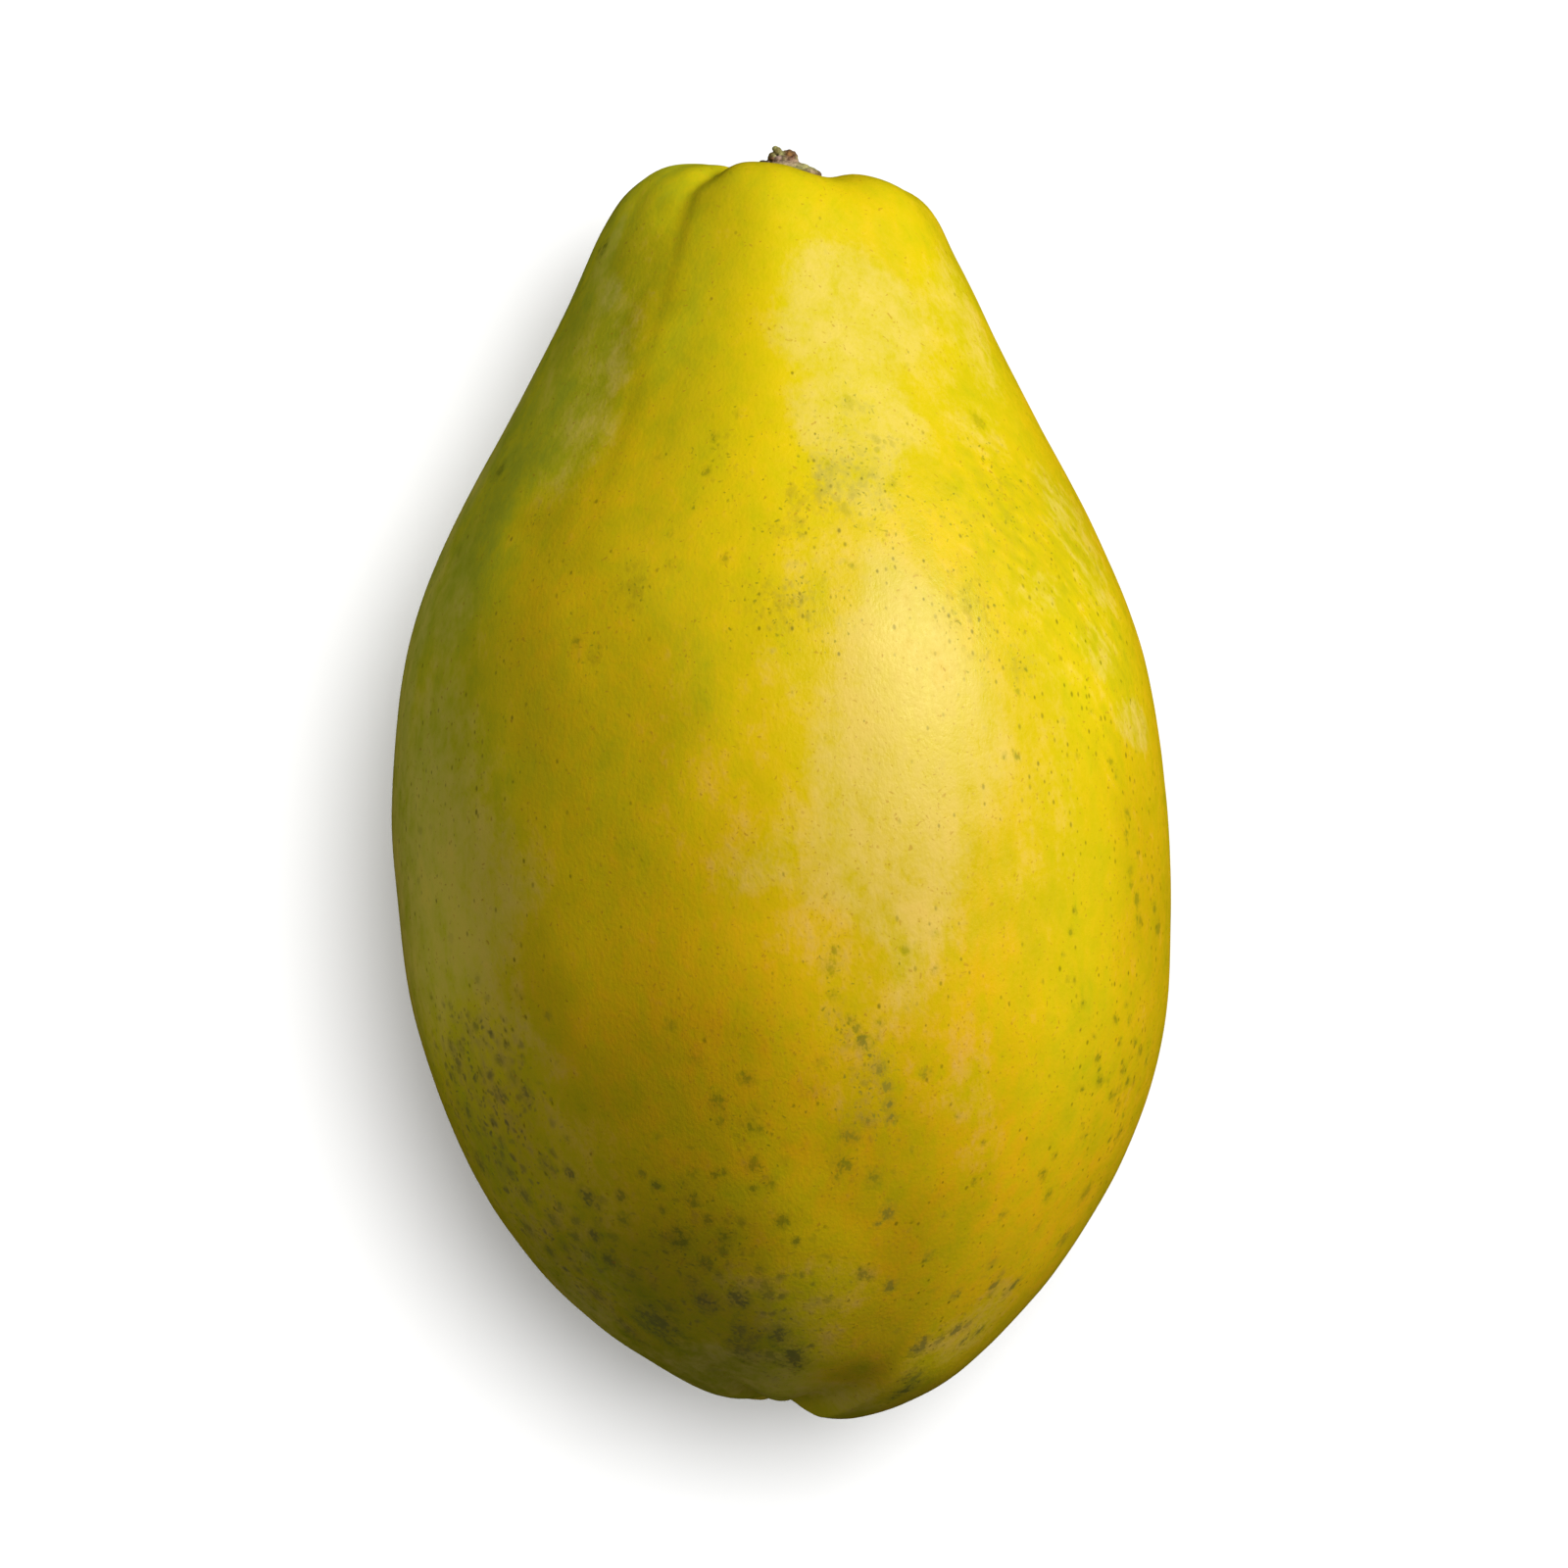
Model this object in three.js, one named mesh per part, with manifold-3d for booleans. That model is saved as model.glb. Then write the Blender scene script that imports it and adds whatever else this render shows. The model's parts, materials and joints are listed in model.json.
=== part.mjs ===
// A whole ripe papaya lying on its side, with the stub of its stem.
// Millimetres, +Z up. +Y runs from the blossom end to the stem end, +X is to the right of it.
// The fruit rests on a small flat spot at z = 0, and the origin is below the middle of its box.
import * as THREE from "three";
import { mergeVertices } from "three/addons/utils/BufferGeometryUtils.js";
import Module from "manifold-3d";

const wasm = await Module();
wasm.setup();

// Driving dimensions.
const fruitLength = 148.3; // from the lobes of the blossom end to the lobes of the stem end
const fruitHalfWidth = 46.3; // at the widest station
const heightShare = 0.965; // height over width of the cross-section
const seatRadius = 4.6; // flat floor of the stem cavity
const seatAlong = 146.7; // that floor's distance from the blossom end
const flatSpotDepth = 0.75; // how much the fruit is pressed flat where it lies
const restPitch = 2.2; // degrees the stem end hangs lower when the fruit lies balanced
const aroundSteps = 60;
const alongSteps = 40;
const stemGap = 0.3; // clearance between the stub and the floor of the cavity

// The outline over the crests of the lobes: [radius, distance from the blossom end].
const outline = [
  [0, 2.6],
  [2.2, 2],
  [5, 1.4],
  [8.8, 1.6],
  [14.8, 4.1],
  [22, 8.7],
  [31.5, 18.3],
  [39.2, 30.3],
  [44.5, 45.3],
  [46.2, 60],
  [fruitHalfWidth, 74],
  [44.15, 90.8],
  [39.2, 104.6],
  [32.15, 118.1],
  [25.9, 130.3],
  [21.8, 139.3],
  [19.2, 144.3],
  [16, 147.2],
  [11.4, fruitLength],
  [7.6, 147.8],
  [seatRadius, seatAlong],
];

// The axis wanders a little to each side: [distance from the blossom end, shift to the right].
const spine = [
  [0, 0],
  [12, 0.7],
  [28, 1.9],
  [58, 0.9],
  [78, 0],
  [110, -0.35],
  [135, 0.45],
  [fruitLength, 0.8],
];

// Both ends are cut askew: the drop along the fruit for each millimetre to the right.
const stemEndSlope = 0.1;
const blossomEndSlope = 0.15;

// Five lobes, and how far each stands out at the blossom end. Angles turn from +X towards +Z.
const lobes = [
  { crest: 15, reach: 0.5 },
  { crest: 87, reach: 0 },
  { crest: 159, reach: -0.3 },
  { crest: 231, reach: -0.1 },
  { crest: 303, reach: 0.5 },
];
const lobeSpan = 360 / lobes.length;
const ridgeHeight = 0.55; // how far the long ridges stand over the flats between them

// A groove between each two lobes: depth at the stem end, width in degrees, and how far it runs.
const stemGrooves = [
  { angle: 51, depth: 0.9, width: 15, run: 14 },
  { angle: 123, depth: 2.9, width: 9, run: 15 },
  { angle: 195, depth: 1.5, width: 13, run: 16 },
  { angle: 267, depth: 2.0, width: 12, run: 16 },
  { angle: 339, depth: 1.4, width: 13, run: 16 },
];
const blossomGroove = { depth: 0.7, width: 11, run: 4.5 };

// The stub: a flared collar and the short broken end of the stem, as [radius, height].
const collarRadius = 3.9;
const stubOutline = [
  [0, 0],
  [collarRadius * 0.92, 0],
  [collarRadius, 0.35],
  [collarRadius * 0.86, 0.95],
  [2.7, 1.6],
  [1.95, 2.2],
  [1.7, 3],
  [1.55, 3.8],
  [1, 4.4],
  [0, 4.55],
];
const stubSteps = 28;
const stubTear = { twoSided: 0.12, threeSided: 0.08, turn: 0.6 }; // how far the broken end is from round
const stubOffset = 0.5; // the stem stands this far to the right of the fruit's axis
const stubLean = 20; // degrees to the left

const skin = new THREE.MeshStandardMaterial({ color: 0xdcc01c, roughness: 0.42, metalness: 0 });
const cork = new THREE.MeshStandardMaterial({ color: 0x8a7048, roughness: 0.85, metalness: 0 });

function smoothStep(low, high, value) {
  return THREE.MathUtils.smoothstep(value, low, high);
}

// The turn between two angles in degrees, without its sign.
function turnBetween(angle, other) {
  return Math.abs(THREE.MathUtils.euclideanModulo(angle - other + 180, 360) - 180);
}

function grooveShape(angle, groove, width) {
  return Math.exp(-Math.pow(turnBetween(angle, groove) / width, 1.6));
}

// How far the lobe at this angle stands out at the blossom end, with a short step at each groove.
function reachAt(angle) {
  const stepWidth = 5;
  return lobes.reduce((sum, lobe) => {
    const inside = 1 - smoothStep(-stepWidth, stepWidth, turnBetween(angle, lobe.crest) - lobeSpan / 2);
    return sum + lobe.reach * inside;
  }, 0);
}

// How far the skin lies in from the outline at this place.
function insetAt(angle, radius, along) {
  const fromStem = Math.max(0, fruitLength - 2 - along);
  const outsideSeat = along > fruitLength / 2 ? smoothStep(seatRadius, seatRadius + 3.5, radius) : 1;
  const blossomFade = Math.exp(-along / blossomGroove.run) * smoothStep(1, 9, radius);
  let inset = -reachAt(angle) * Math.exp(-Math.pow(along / 8, 2)) * smoothStep(0.5, 7, radius);
  for (const { angle: groove, depth, width, run } of stemGrooves) {
    const widened = width * (1 + fromStem / 26);
    inset += depth * Math.exp(-fromStem / run) * grooveShape(angle, groove, widened);
    inset += blossomGroove.depth * blossomFade * grooveShape(angle, groove, blossomGroove.width);
  }
  const turns = THREE.MathUtils.degToRad(lobes.length * (angle - lobes[0].crest));
  const body = smoothStep(4, 40, along) * (1 - smoothStep(118, 144, along));
  return outsideSeat * (inset + ridgeHeight * body * (1 - Math.cos(turns)) * 0.5);
}

// The profile from the blossom end's pole to the flat floor of the stem cavity, then to the axis.
function profilePoints() {
  const stations = outline.map(([radius, along]) => new THREE.Vector2(radius, along));
  const curve = new THREE.SplineCurve(stations);
  const points = curve.getSpacedPoints(alongSteps);
  points.forEach((point) => point.setX(Math.max(0, point.x)));
  points.push(new THREE.Vector2(0, seatAlong));
  return points;
}

const spineCurve = new THREE.SplineCurve(spine.map(([along, shift]) => new THREE.Vector2(along, shift)));
const spinePoints = spineCurve.getPoints(90);

function spineShift(along) {
  const next = spinePoints.findIndex((point) => point.x > along);
  if (next <= 0) return next < 0 ? spinePoints.at(-1).y : spinePoints[0].y;
  const [before, after] = [spinePoints[next - 1], spinePoints[next]];
  return THREE.MathUtils.mapLinear(along, before.x, after.x, before.y, after.y);
}

// Turns a place on the plain turned body into its place on the wandering, askew fruit.
function bend(place) {
  const { x, y: along } = place;
  const stemShare = smoothStep(105, fruitLength - 5, along);
  const blossomShare = 1 - smoothStep(0, 26, along);
  const aroundStub = 1 - smoothStep(seatRadius, 15, Math.hypot(x, place.z));
  const stubShift = stubOffset * aroundStub * smoothStep(fruitLength - 4, fruitLength - 1, along);
  place.x = x + spineShift(along) + stubShift;
  place.y = along - x * (stemEndSlope * stemShare + blossomEndSlope * blossomShare);
  place.z *= heightShare;
  return place;
}

function fruitGeometry() {
  const points = profilePoints();
  const geometry = new THREE.LatheGeometry(points, aroundSteps);
  const position = geometry.getAttribute("position");
  const normal = geometry.getAttribute("normal");
  const place = new THREE.Vector3();
  const outward = new THREE.Vector3();
  for (let i = 0; i < position.count; i += 1) {
    place.fromBufferAttribute(position, i);
    outward.fromBufferAttribute(normal, i);
    const radius = Math.hypot(place.x, place.z);
    const angle = THREE.MathUtils.radToDeg(Math.atan2(place.z, place.x));
    place.addScaledVector(outward, -insetAt(angle, radius, place.y));
    bend(place);
    position.setXYZ(i, place.x, place.y, place.z);
  }
  return geometry;
}

// A closed geometry as a solid, and back.
function solidFrom(geometry, matrix = new THREE.Matrix4()) {
  const bare = geometry.clone().applyMatrix4(matrix);
  bare.deleteAttribute("normal");
  bare.deleteAttribute("uv");
  const merged = mergeVertices(bare, 1e-3);
  return new wasm.Manifold(
    new wasm.Mesh({
      numProp: 3,
      vertProperties: merged.getAttribute("position").array,
      triVerts: new Uint32Array(merged.index.array),
    }),
  );
}

function geometryFrom(solid) {
  const mesh = solid.getMesh();
  return new THREE.BufferGeometry()
    .setAttribute("position", new THREE.BufferAttribute(mesh.vertProperties, 3))
    .setIndex(new THREE.BufferAttribute(mesh.triVerts, 1));
}

function lowestPoint(geometry) {
  geometry.computeBoundingBox();
  return geometry.boundingBox.min.z;
}

// Lays the fruit down at its balance and presses the flat spot at z = 0.
const middle = fruitLength / 2;
const lying = new THREE.Matrix4()
  .makeRotationX(THREE.MathUtils.degToRad(-restPitch))
  .multiply(new THREE.Matrix4().makeTranslation(0, -middle, 0));
const lyingFruit = fruitGeometry().applyMatrix4(lying);
const lift = new THREE.Matrix4().makeTranslation(0, 0, -lowestPoint(lyingFruit) - flatSpotDepth);
const floorDepth = 20;
const ground = new THREE.BoxGeometry(4 * fruitHalfWidth, 2 * fruitLength, floorDepth);
const pressed = solidFrom(lyingFruit, lift).subtract(
  solidFrom(ground, new THREE.Matrix4().makeTranslation(0, 0, -floorDepth / 2)),
);
const fruit = new THREE.Mesh(geometryFrom(pressed), skin);
fruit.name = "fruit";

// The stub stands on the cavity's floor and follows its slope.
function stubGeometry() {
  const geometry = new THREE.LatheGeometry(
    stubOutline.map(([radius, height]) => new THREE.Vector2(radius, height)),
    stubSteps,
  );
  const position = geometry.getAttribute("position");
  const lean = Math.tan(THREE.MathUtils.degToRad(stubLean));
  for (let i = 0; i < position.count; i += 1) {
    const height = position.getY(i);
    const angle = Math.atan2(position.getZ(i), position.getX(i));
    const twoSided = stubTear.twoSided * Math.cos(2 * angle - stubTear.turn);
    const threeSided = stubTear.threeSided * Math.cos(3 * angle);
    const width = 1 + smoothStep(1.2, 3.6, height) * (twoSided + threeSided);
    position.setX(i, position.getX(i) * width - height * lean);
    position.setZ(i, position.getZ(i) * width);
  }
  return geometry;
}

const stub = new THREE.Mesh(stubGeometry(), cork);
stub.name = "stem_stub";
const seat = bend(new THREE.Vector3(0, seatAlong, 0));
stub.position.set(seat.x, seat.y + stemGap, seat.z);
stub.rotation.z = -Math.atan(stemEndSlope);
const laid = new THREE.Group();
laid.applyMatrix4(lift.clone().multiply(lying));
laid.add(stub);

// The origin is below the middle of the whole object's box.
const papaya = new THREE.Group();
papaya.name = "papaya";
papaya.add(fruit, laid);
papaya.updateMatrixWorld(true);
const box = new THREE.Box3().setFromObject(papaya, true);
const centre = box.getCenter(new THREE.Vector3());
papaya.position.set(-centre.x, -centre.y, 0);

export default papaya;
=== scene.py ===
# A ripe papaya lying on a pale table, with the stub of its stem
import json
import math
import bmesh
import bpy
import numpy as np
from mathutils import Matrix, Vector, noise

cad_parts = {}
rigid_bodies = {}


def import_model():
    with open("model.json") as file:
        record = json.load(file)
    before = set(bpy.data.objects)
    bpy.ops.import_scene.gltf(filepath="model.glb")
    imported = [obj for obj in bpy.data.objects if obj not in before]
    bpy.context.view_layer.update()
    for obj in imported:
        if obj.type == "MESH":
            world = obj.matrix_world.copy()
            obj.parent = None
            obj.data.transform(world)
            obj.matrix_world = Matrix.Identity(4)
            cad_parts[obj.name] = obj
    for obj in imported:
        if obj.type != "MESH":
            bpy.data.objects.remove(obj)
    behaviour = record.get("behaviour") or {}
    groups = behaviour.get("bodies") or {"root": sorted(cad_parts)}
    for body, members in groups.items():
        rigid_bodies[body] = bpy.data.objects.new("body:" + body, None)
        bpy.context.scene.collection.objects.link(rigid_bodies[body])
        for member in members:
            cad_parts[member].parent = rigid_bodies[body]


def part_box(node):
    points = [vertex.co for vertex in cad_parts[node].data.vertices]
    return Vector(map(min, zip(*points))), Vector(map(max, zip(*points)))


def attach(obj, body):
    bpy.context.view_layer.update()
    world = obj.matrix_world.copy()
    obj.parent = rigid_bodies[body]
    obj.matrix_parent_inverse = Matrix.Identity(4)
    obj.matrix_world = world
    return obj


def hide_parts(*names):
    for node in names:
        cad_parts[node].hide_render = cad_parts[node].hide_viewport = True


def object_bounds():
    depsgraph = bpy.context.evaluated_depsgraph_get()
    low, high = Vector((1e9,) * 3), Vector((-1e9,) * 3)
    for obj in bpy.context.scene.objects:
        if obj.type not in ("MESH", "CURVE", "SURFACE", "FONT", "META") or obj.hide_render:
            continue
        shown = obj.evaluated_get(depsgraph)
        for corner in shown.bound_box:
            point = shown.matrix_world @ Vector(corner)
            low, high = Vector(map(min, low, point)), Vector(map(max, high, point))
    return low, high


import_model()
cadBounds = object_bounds()
fruitLow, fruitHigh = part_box("fruit")
stubLow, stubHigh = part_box("stem_stub")
scene = bpy.context.scene
mm = 0.001
halving = 0.69  # a patch has half its strength at its border
print("frame loaded, papaya is", [round(side / mm, 1) for side in cadBounds[1] - cadBounds[0]], "mm")


def connect(tree, value, socket):
    if isinstance(value, bpy.types.Node):
        value = value.outputs[0]
    elif isinstance(value, Field):
        value = value.socket
    if isinstance(value, bpy.types.NodeSocket):
        tree.links.new(value, socket)
    else:
        socket.default_value = value


def compute(tree, operation, *values):
    node = tree.nodes.new("ShaderNodeMath")
    node.operation = operation
    for value, socket in zip(values, node.inputs):
        connect(tree, value, socket)
    return Field(tree, node.outputs[0])


class Field:  # a number that varies over the surface, so formulas can be written as plain sums
    def __init__(self, tree, socket):
        self.tree = tree
        self.socket = socket

    def use(self, operation, *others):
        return compute(self.tree, operation, self, *others)

    def __add__(self, other):
        return self.use("ADD", other)

    def __sub__(self, other):
        return self.use("SUBTRACT", other)

    def __rsub__(self, other):
        return compute(self.tree, "SUBTRACT", other, self)

    def __mul__(self, other):
        return self.use("MULTIPLY", other)

    def __truediv__(self, other):
        return self.use("DIVIDE", other)

    def __rtruediv__(self, other):
        return compute(self.tree, "DIVIDE", other, self)

    def smooth(self, low, high, start=0.0, end=1.0):  # eases from start to end between low and high
        node = self.tree.nodes.new("ShaderNodeMapRange")
        node.interpolation_type = "SMOOTHSTEP"
        names = ("Value", "From Min", "From Max", "To Min", "To Max")
        for value, name in zip((self, low, high, start, end), names):
            connect(self.tree, value, node.inputs[name])
        return Field(self.tree, node.outputs["Result"])


def makeNode(tree, kind, settings=None, **inputs):  # inputs are named with _ for a space
    node = tree.nodes.new(kind)
    for name, value in (settings or {}).items():
        setattr(node, name, value)
    for name, value in inputs.items():
        connect(tree, value, node.inputs[name.replace("_", " ")])
    return node


def vectorMath(tree, operation, *values, **inputs):
    node = makeNode(tree, "ShaderNodeVectorMath", {"operation": operation}, **inputs)
    for value, socket in zip(values, node.inputs):
        connect(tree, value, socket)
    return node


def split(tree, vector):  # its three parts
    return [Field(tree, part) for part in makeNode(tree, "ShaderNodeSeparateXYZ", Vector=vector).outputs]


def makeNoise(tree, place, size, detail=2.0, roughness=0.55):  # around zero
    texture = makeNode(tree, "ShaderNodeTexNoise", Vector=place, Scale=1 / size, Detail=detail,
                       Roughness=roughness)
    return Field(tree, texture.outputs[0]) - 0.5


def makeTree(name, inputs):  # a tree with these inputs, and their fields by name
    tree = bpy.data.node_groups.new(name, "GeometryNodeTree")
    tree.interface.new_socket("Geometry", in_out="INPUT", socket_type="NodeSocketGeometry")
    for label, value in inputs.items():
        kind = {int: "NodeSocketInt", float: "NodeSocketFloat"}.get(type(value), "NodeSocketMaterial")
        tree.interface.new_socket(label, in_out="INPUT", socket_type=kind)
    tree.interface.new_socket("Geometry", in_out="OUTPUT", socket_type="NodeSocketGeometry")
    return tree, {given.name: Field(tree, given) for given in tree.nodes.new("NodeGroupInput").outputs}


def endTree(tree, geometry, material):
    real = makeNode(tree, "GeometryNodeRealizeInstances", Geometry=geometry)
    smoothed = makeNode(tree, "GeometryNodeSetShadeSmooth", Geometry=real)
    coloured = makeNode(tree, "GeometryNodeSetMaterial", Geometry=smoothed, Material=material)
    tree.links.new(coloured.outputs[0], tree.nodes.new("NodeGroupOutput").inputs[0])
    return tree


def runTree(piece, tree, inputs):  # grows the tree on the piece and keeps the result as its plain mesh
    modifier = piece.modifiers.new(tree.name, "NODES")
    modifier.node_group = tree
    for item in tree.interface.items_tree:
        if item.in_out == "INPUT" and item.name in inputs:
            modifier[item.identifier] = inputs[item.name]
    bpy.context.view_layer.update()
    depsgraph = bpy.context.evaluated_depsgraph_get()
    grown = bpy.data.meshes.new_from_object(
        piece.evaluated_get(depsgraph), preserve_all_data_layers=True, depsgraph=depsgraph)
    piece.modifiers.remove(modifier)
    piece.data = grown


def newPiece(name, vertices=(), edges=(), faces=()):
    mesh = bpy.data.meshes.new(name)
    mesh.from_pydata(list(vertices), list(edges), list(faces))
    piece = bpy.data.objects.new(name, mesh)
    scene.collection.objects.link(piece)
    return piece


def closeMesh(mesh, distance):  # seams and poles closed, faces outwards
    shell = bmesh.new()
    shell.from_mesh(mesh)
    bmesh.ops.remove_doubles(shell, verts=shell.verts, dist=distance)
    bmesh.ops.dissolve_degenerate(shell, edges=shell.edges, dist=distance)
    bmesh.ops.recalc_face_normals(shell, faces=shell.faces)
    shell.to_mesh(mesh)
    shell.free()
    mesh.update()


def readRows(items, name, kind=float, width=3):  # one row of numbers for each vertex or edge
    rows = np.empty(len(items) * width, kind)
    items.foreach_get(name, rows)
    return rows.reshape(-1, width)


def storeValues(mesh, name, values, kind="FLOAT"):
    key = {"FLOAT": "value", "FLOAT_VECTOR": "vector", "FLOAT_COLOR": "color"}[kind]
    attribute = mesh.attributes.new(name, kind, "POINT")
    attribute.data.foreach_set(key, np.asarray(values, np.float32).ravel())


def newMaterial(name):
    material = bpy.data.materials.new(name)
    material.use_nodes = True
    return material, material.node_tree, material.node_tree.nodes["Principled BSDF"]


def mixColours(tree, share, under, over, blend="MIX"):
    node = makeNode(tree, "ShaderNodeMix", {"data_type": "RGBA", "blend_type": blend})
    for value, socket in zip((share, under, over), (node.inputs[0], node.inputs[6], node.inputs[7])):
        connect(tree, value, socket)
    return node.outputs[2]


def shaded(tree, colour, shade):
    grey = makeNode(tree, "ShaderNodeCombineColor", Red=shade, Green=shade, Blue=shade)
    return mixColours(tree, 1.0, colour, grey, "MULTIPLY")


def painted(tree, name, kind="Fac"):  # a value painted on the mesh
    return Field(tree, makeNode(tree, "ShaderNodeAttribute", {"attribute_name": name}).outputs[kind])


def finishShader(tree, shader, look, colour, roughness, height):
    connect(tree, colour, shader.inputs["Base Color"])
    connect(tree, roughness, shader.inputs["Roughness"])
    shader.inputs["Specular IOR Level"].default_value = look["specular"]
    distance, strength = look["relief"]
    bump = makeNode(tree, "ShaderNodeBump", Height=height, Distance=distance * mm, Strength=strength)
    connect(tree, bump, shader.inputs["Normal"])


# looks straight down, the stem end at the top; lengths in mm
camera = {"height": 800, "lookAt": (0.35, -0.39, 45), "frameWidth": 186.8, "sensor": 36}


def addCamera():
    data = bpy.data.cameras.new("camera")
    data.sensor_width = camera["sensor"]
    data.lens = camera["sensor"] * camera["height"] / camera["frameWidth"]
    data.clip_end = 10
    viewer = bpy.data.objects.new("camera", data)
    viewer.location = (Vector(camera["lookAt"]) + Vector((0, 0, camera["height"]))) * mm
    scene.collection.objects.link(viewer)
    scene.camera = viewer


addCamera()
print("camera set")


body = {
    "around": 384,  # faces round the fruit
    "along": 242,
    "outlineSteps": 24,  # between two points of the outline
    "length": 148.3,  # from the lobes of the blossom end to the lobes of the stem end
    "heightShare": 0.965,  # height over width
    "pitch": 2.2,  # degrees the stem end hangs down
    "outline": [  # radius over the crests, distance from the blossom end
        (0, 2.6), (2.2, 2), (5, 1.4), (8.8, 1.6), (14.8, 4.1), (22, 8.7), (31.5, 18.3), (39.2, 30.3),
        (44.5, 45.3), (46.2, 60), (46.3, 74), (44.15, 90.8), (39.2, 104.6), (32.15, 118.1),
        (25.9, 130.3), (21.8, 139.3), (19.2, 144.3), (16, 147.2), (11.4, 148.3), (7.6, 147.8),
        (4.6, 146.7), (2, 146.6), (0, 146.6)],
    "spine": [(0, 0), (12, 0.7), (28, 1.9), (58, 0.9), (78, 0), (110, -0.35), (135, 0.45), (148.3, 0.8)],
    "spineReach": 3.0,  # no part of the spine is shifted more than this
    "lobes": [  # crest, reach at the blossom end
        (15, 0.75), (87, -1.05), (159, 0.05), (231, 0.6), (303, -0.6)],
    "lobeRun": 8,
    "lobeFade": (2, 8),  # radius where a lobe's reach starts and is full
    "lobeStep": 5.0,  # degrees to each side of a border in which one lobe's reach becomes the next one's
    "ridgeHeight": 0.45,
    "ridgeRun": (4, 40, 118, 144),  # stations between which the ridges rise, and between which they sink
    "stemGrooves": [  # angle, swing below the rim, depth, width in degrees, how far it runs, sharpness
        (64, 0, 1.0, 17, 9, 2.0), (121.5, 4, 1.45, 7, 3.4, 1.7), (195, 4, 1.5, 11, 16, 1.5),
        (267, -5, 2.0, 9, 16, 1.3), (339, 4, 1.2, 12, 16, 1.6)],
    "swingRun": 4,
    "grooveSpread": 30,  # a groove is twice as wide this far from the stem end
    "rimDepth": 2,  # a groove is at full depth down to this far below the stem end
    "blossomGroove": (1.1, 9, 4.0, 1.6),  # depth, width in degrees, how far it runs, sharpness
    "blossomFade": (1, 5),  # radius where it starts and is full
    "folds": [  # long swellings and hollows: angle, station, half width in degrees, half length, height
        (92, 92, 9, 62, 0.36), (122.5, 124, 2.6, 26, -0.12), (125, 140, 3.6, 7, -0.18),
        (148, 132, 11, 10, 0.25), (168, 148, 16, 6, -0.9), (172, 126, 20, 14, -0.5),
        (138, 149.5, 14, 5, -0.8), (20, 145, 15, 6, -0.4), (10, 142, 20, 6, -0.6),
        (84, 149.5, 26, 6, -0.5), (8, 107, 22, 12, -0.4), (178, 11, 18, 7, 0.6), (352, 19, 18, 9, 0.6),
        (111, 74, 9, 50, -0.34), (125, 62, 8, 40, 0.3), (204, 70, 12, 45, 0.35),
        (236, 60, 10, 40, -0.3), (318, 80, 12, 50, 0.35), (350, 60, 10, 36, -0.2)],
    "stemSlope": 0.1,
    "blossomSlope": 0.15,
    "slopeRun": (26, 105),  # the slopes lie below the first station and above the second one
    "seatRadius": 4.6,  # floor of the stem cavity
    "seatEdge": 3.5,
    "stubShift": (0.5, 15),  # how far the stem's place is to the right, and the radius where that ends
    "swells": (0.3, 30),  # depth and size of the soft unevenness
    "dents": (0.05, 7),
    "mergeDistance": 0.002,
}

# what each number of a lobe, groove or fold is measured in
units = {
    "Lobe": {"Crest": 1.0, "Reach": mm},
    "Groove": {"Angle": 1.0, "Swing": 1.0, "Depth": mm, "Width": 1.0, "Run": mm, "Sharpness": 1.0},
    "Fold": {"Angle": 1.0, "Station": mm, "Width": 1.0, "Length": mm, "Height": mm},
}
features = {"Lobe": body["lobes"], "Groove": body["stemGrooves"], "Fold": body["folds"]}


def turnFrom(angle, middle):  # degrees between two angles
    return (angle - middle).use("WRAP", 180.0, -180.0).use("ABSOLUTE")


def bell(distance, width, sharpness=2.0):
    return ((distance / width).use("POWER", sharpness) * -1.0).use("EXPONENT")


def bodyInputs(peelSkin):
    inputs = {
        "Around": body["around"], "Along": body["along"], "Length": body["length"] * mm,
        "Height Share": body["heightShare"], "Ridge Height": body["ridgeHeight"] * mm,
        "Stem Slope": body["stemSlope"], "Blossom Slope": body["blossomSlope"],
        "Pitch": math.radians(body["pitch"]), "Seat Radius": body["seatRadius"] * mm,
        "Swell Depth": body["swells"][0] * mm, "Swell Size": body["swells"][1] * mm,
        "Dent Depth": body["dents"][0] * mm, "Dent Size": body["dents"][1] * mm, "Peel": peelSkin}
    for kind, rows in features.items():
        for index, row in enumerate(rows, 1):
            for (name, unit), value in zip(units[kind].items(), row):
                inputs[f"{kind} {index} {name}"] = value * unit
    return inputs


def featureFields(size, kind):  # the inputs of every lobe, groove or fold
    return [[size[f"{kind} {index} {name}"] for name in units[kind]]
            for index in range(1, len(features[kind]) + 1)]


def spineShift(tree, along):  # how far the axis wanders to the right at this station
    length, reach = body["length"], body["spineReach"]
    node = makeNode(tree, "ShaderNodeFloatCurve", Value=along / (length * mm))
    curve = node.mapping.curves[0]
    stations = [(station / length, 0.5 + 0.5 * shift / reach) for station, shift in body["spine"]]
    for point, place in zip(curve.points, (stations[0], stations[-1])):
        point.location = place
    for place in stations[1:-1]:
        curve.points.new(*place)
    node.mapping.update()
    return (Field(tree, node.outputs[0]) - 0.5) * (2 * reach * mm)


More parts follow.
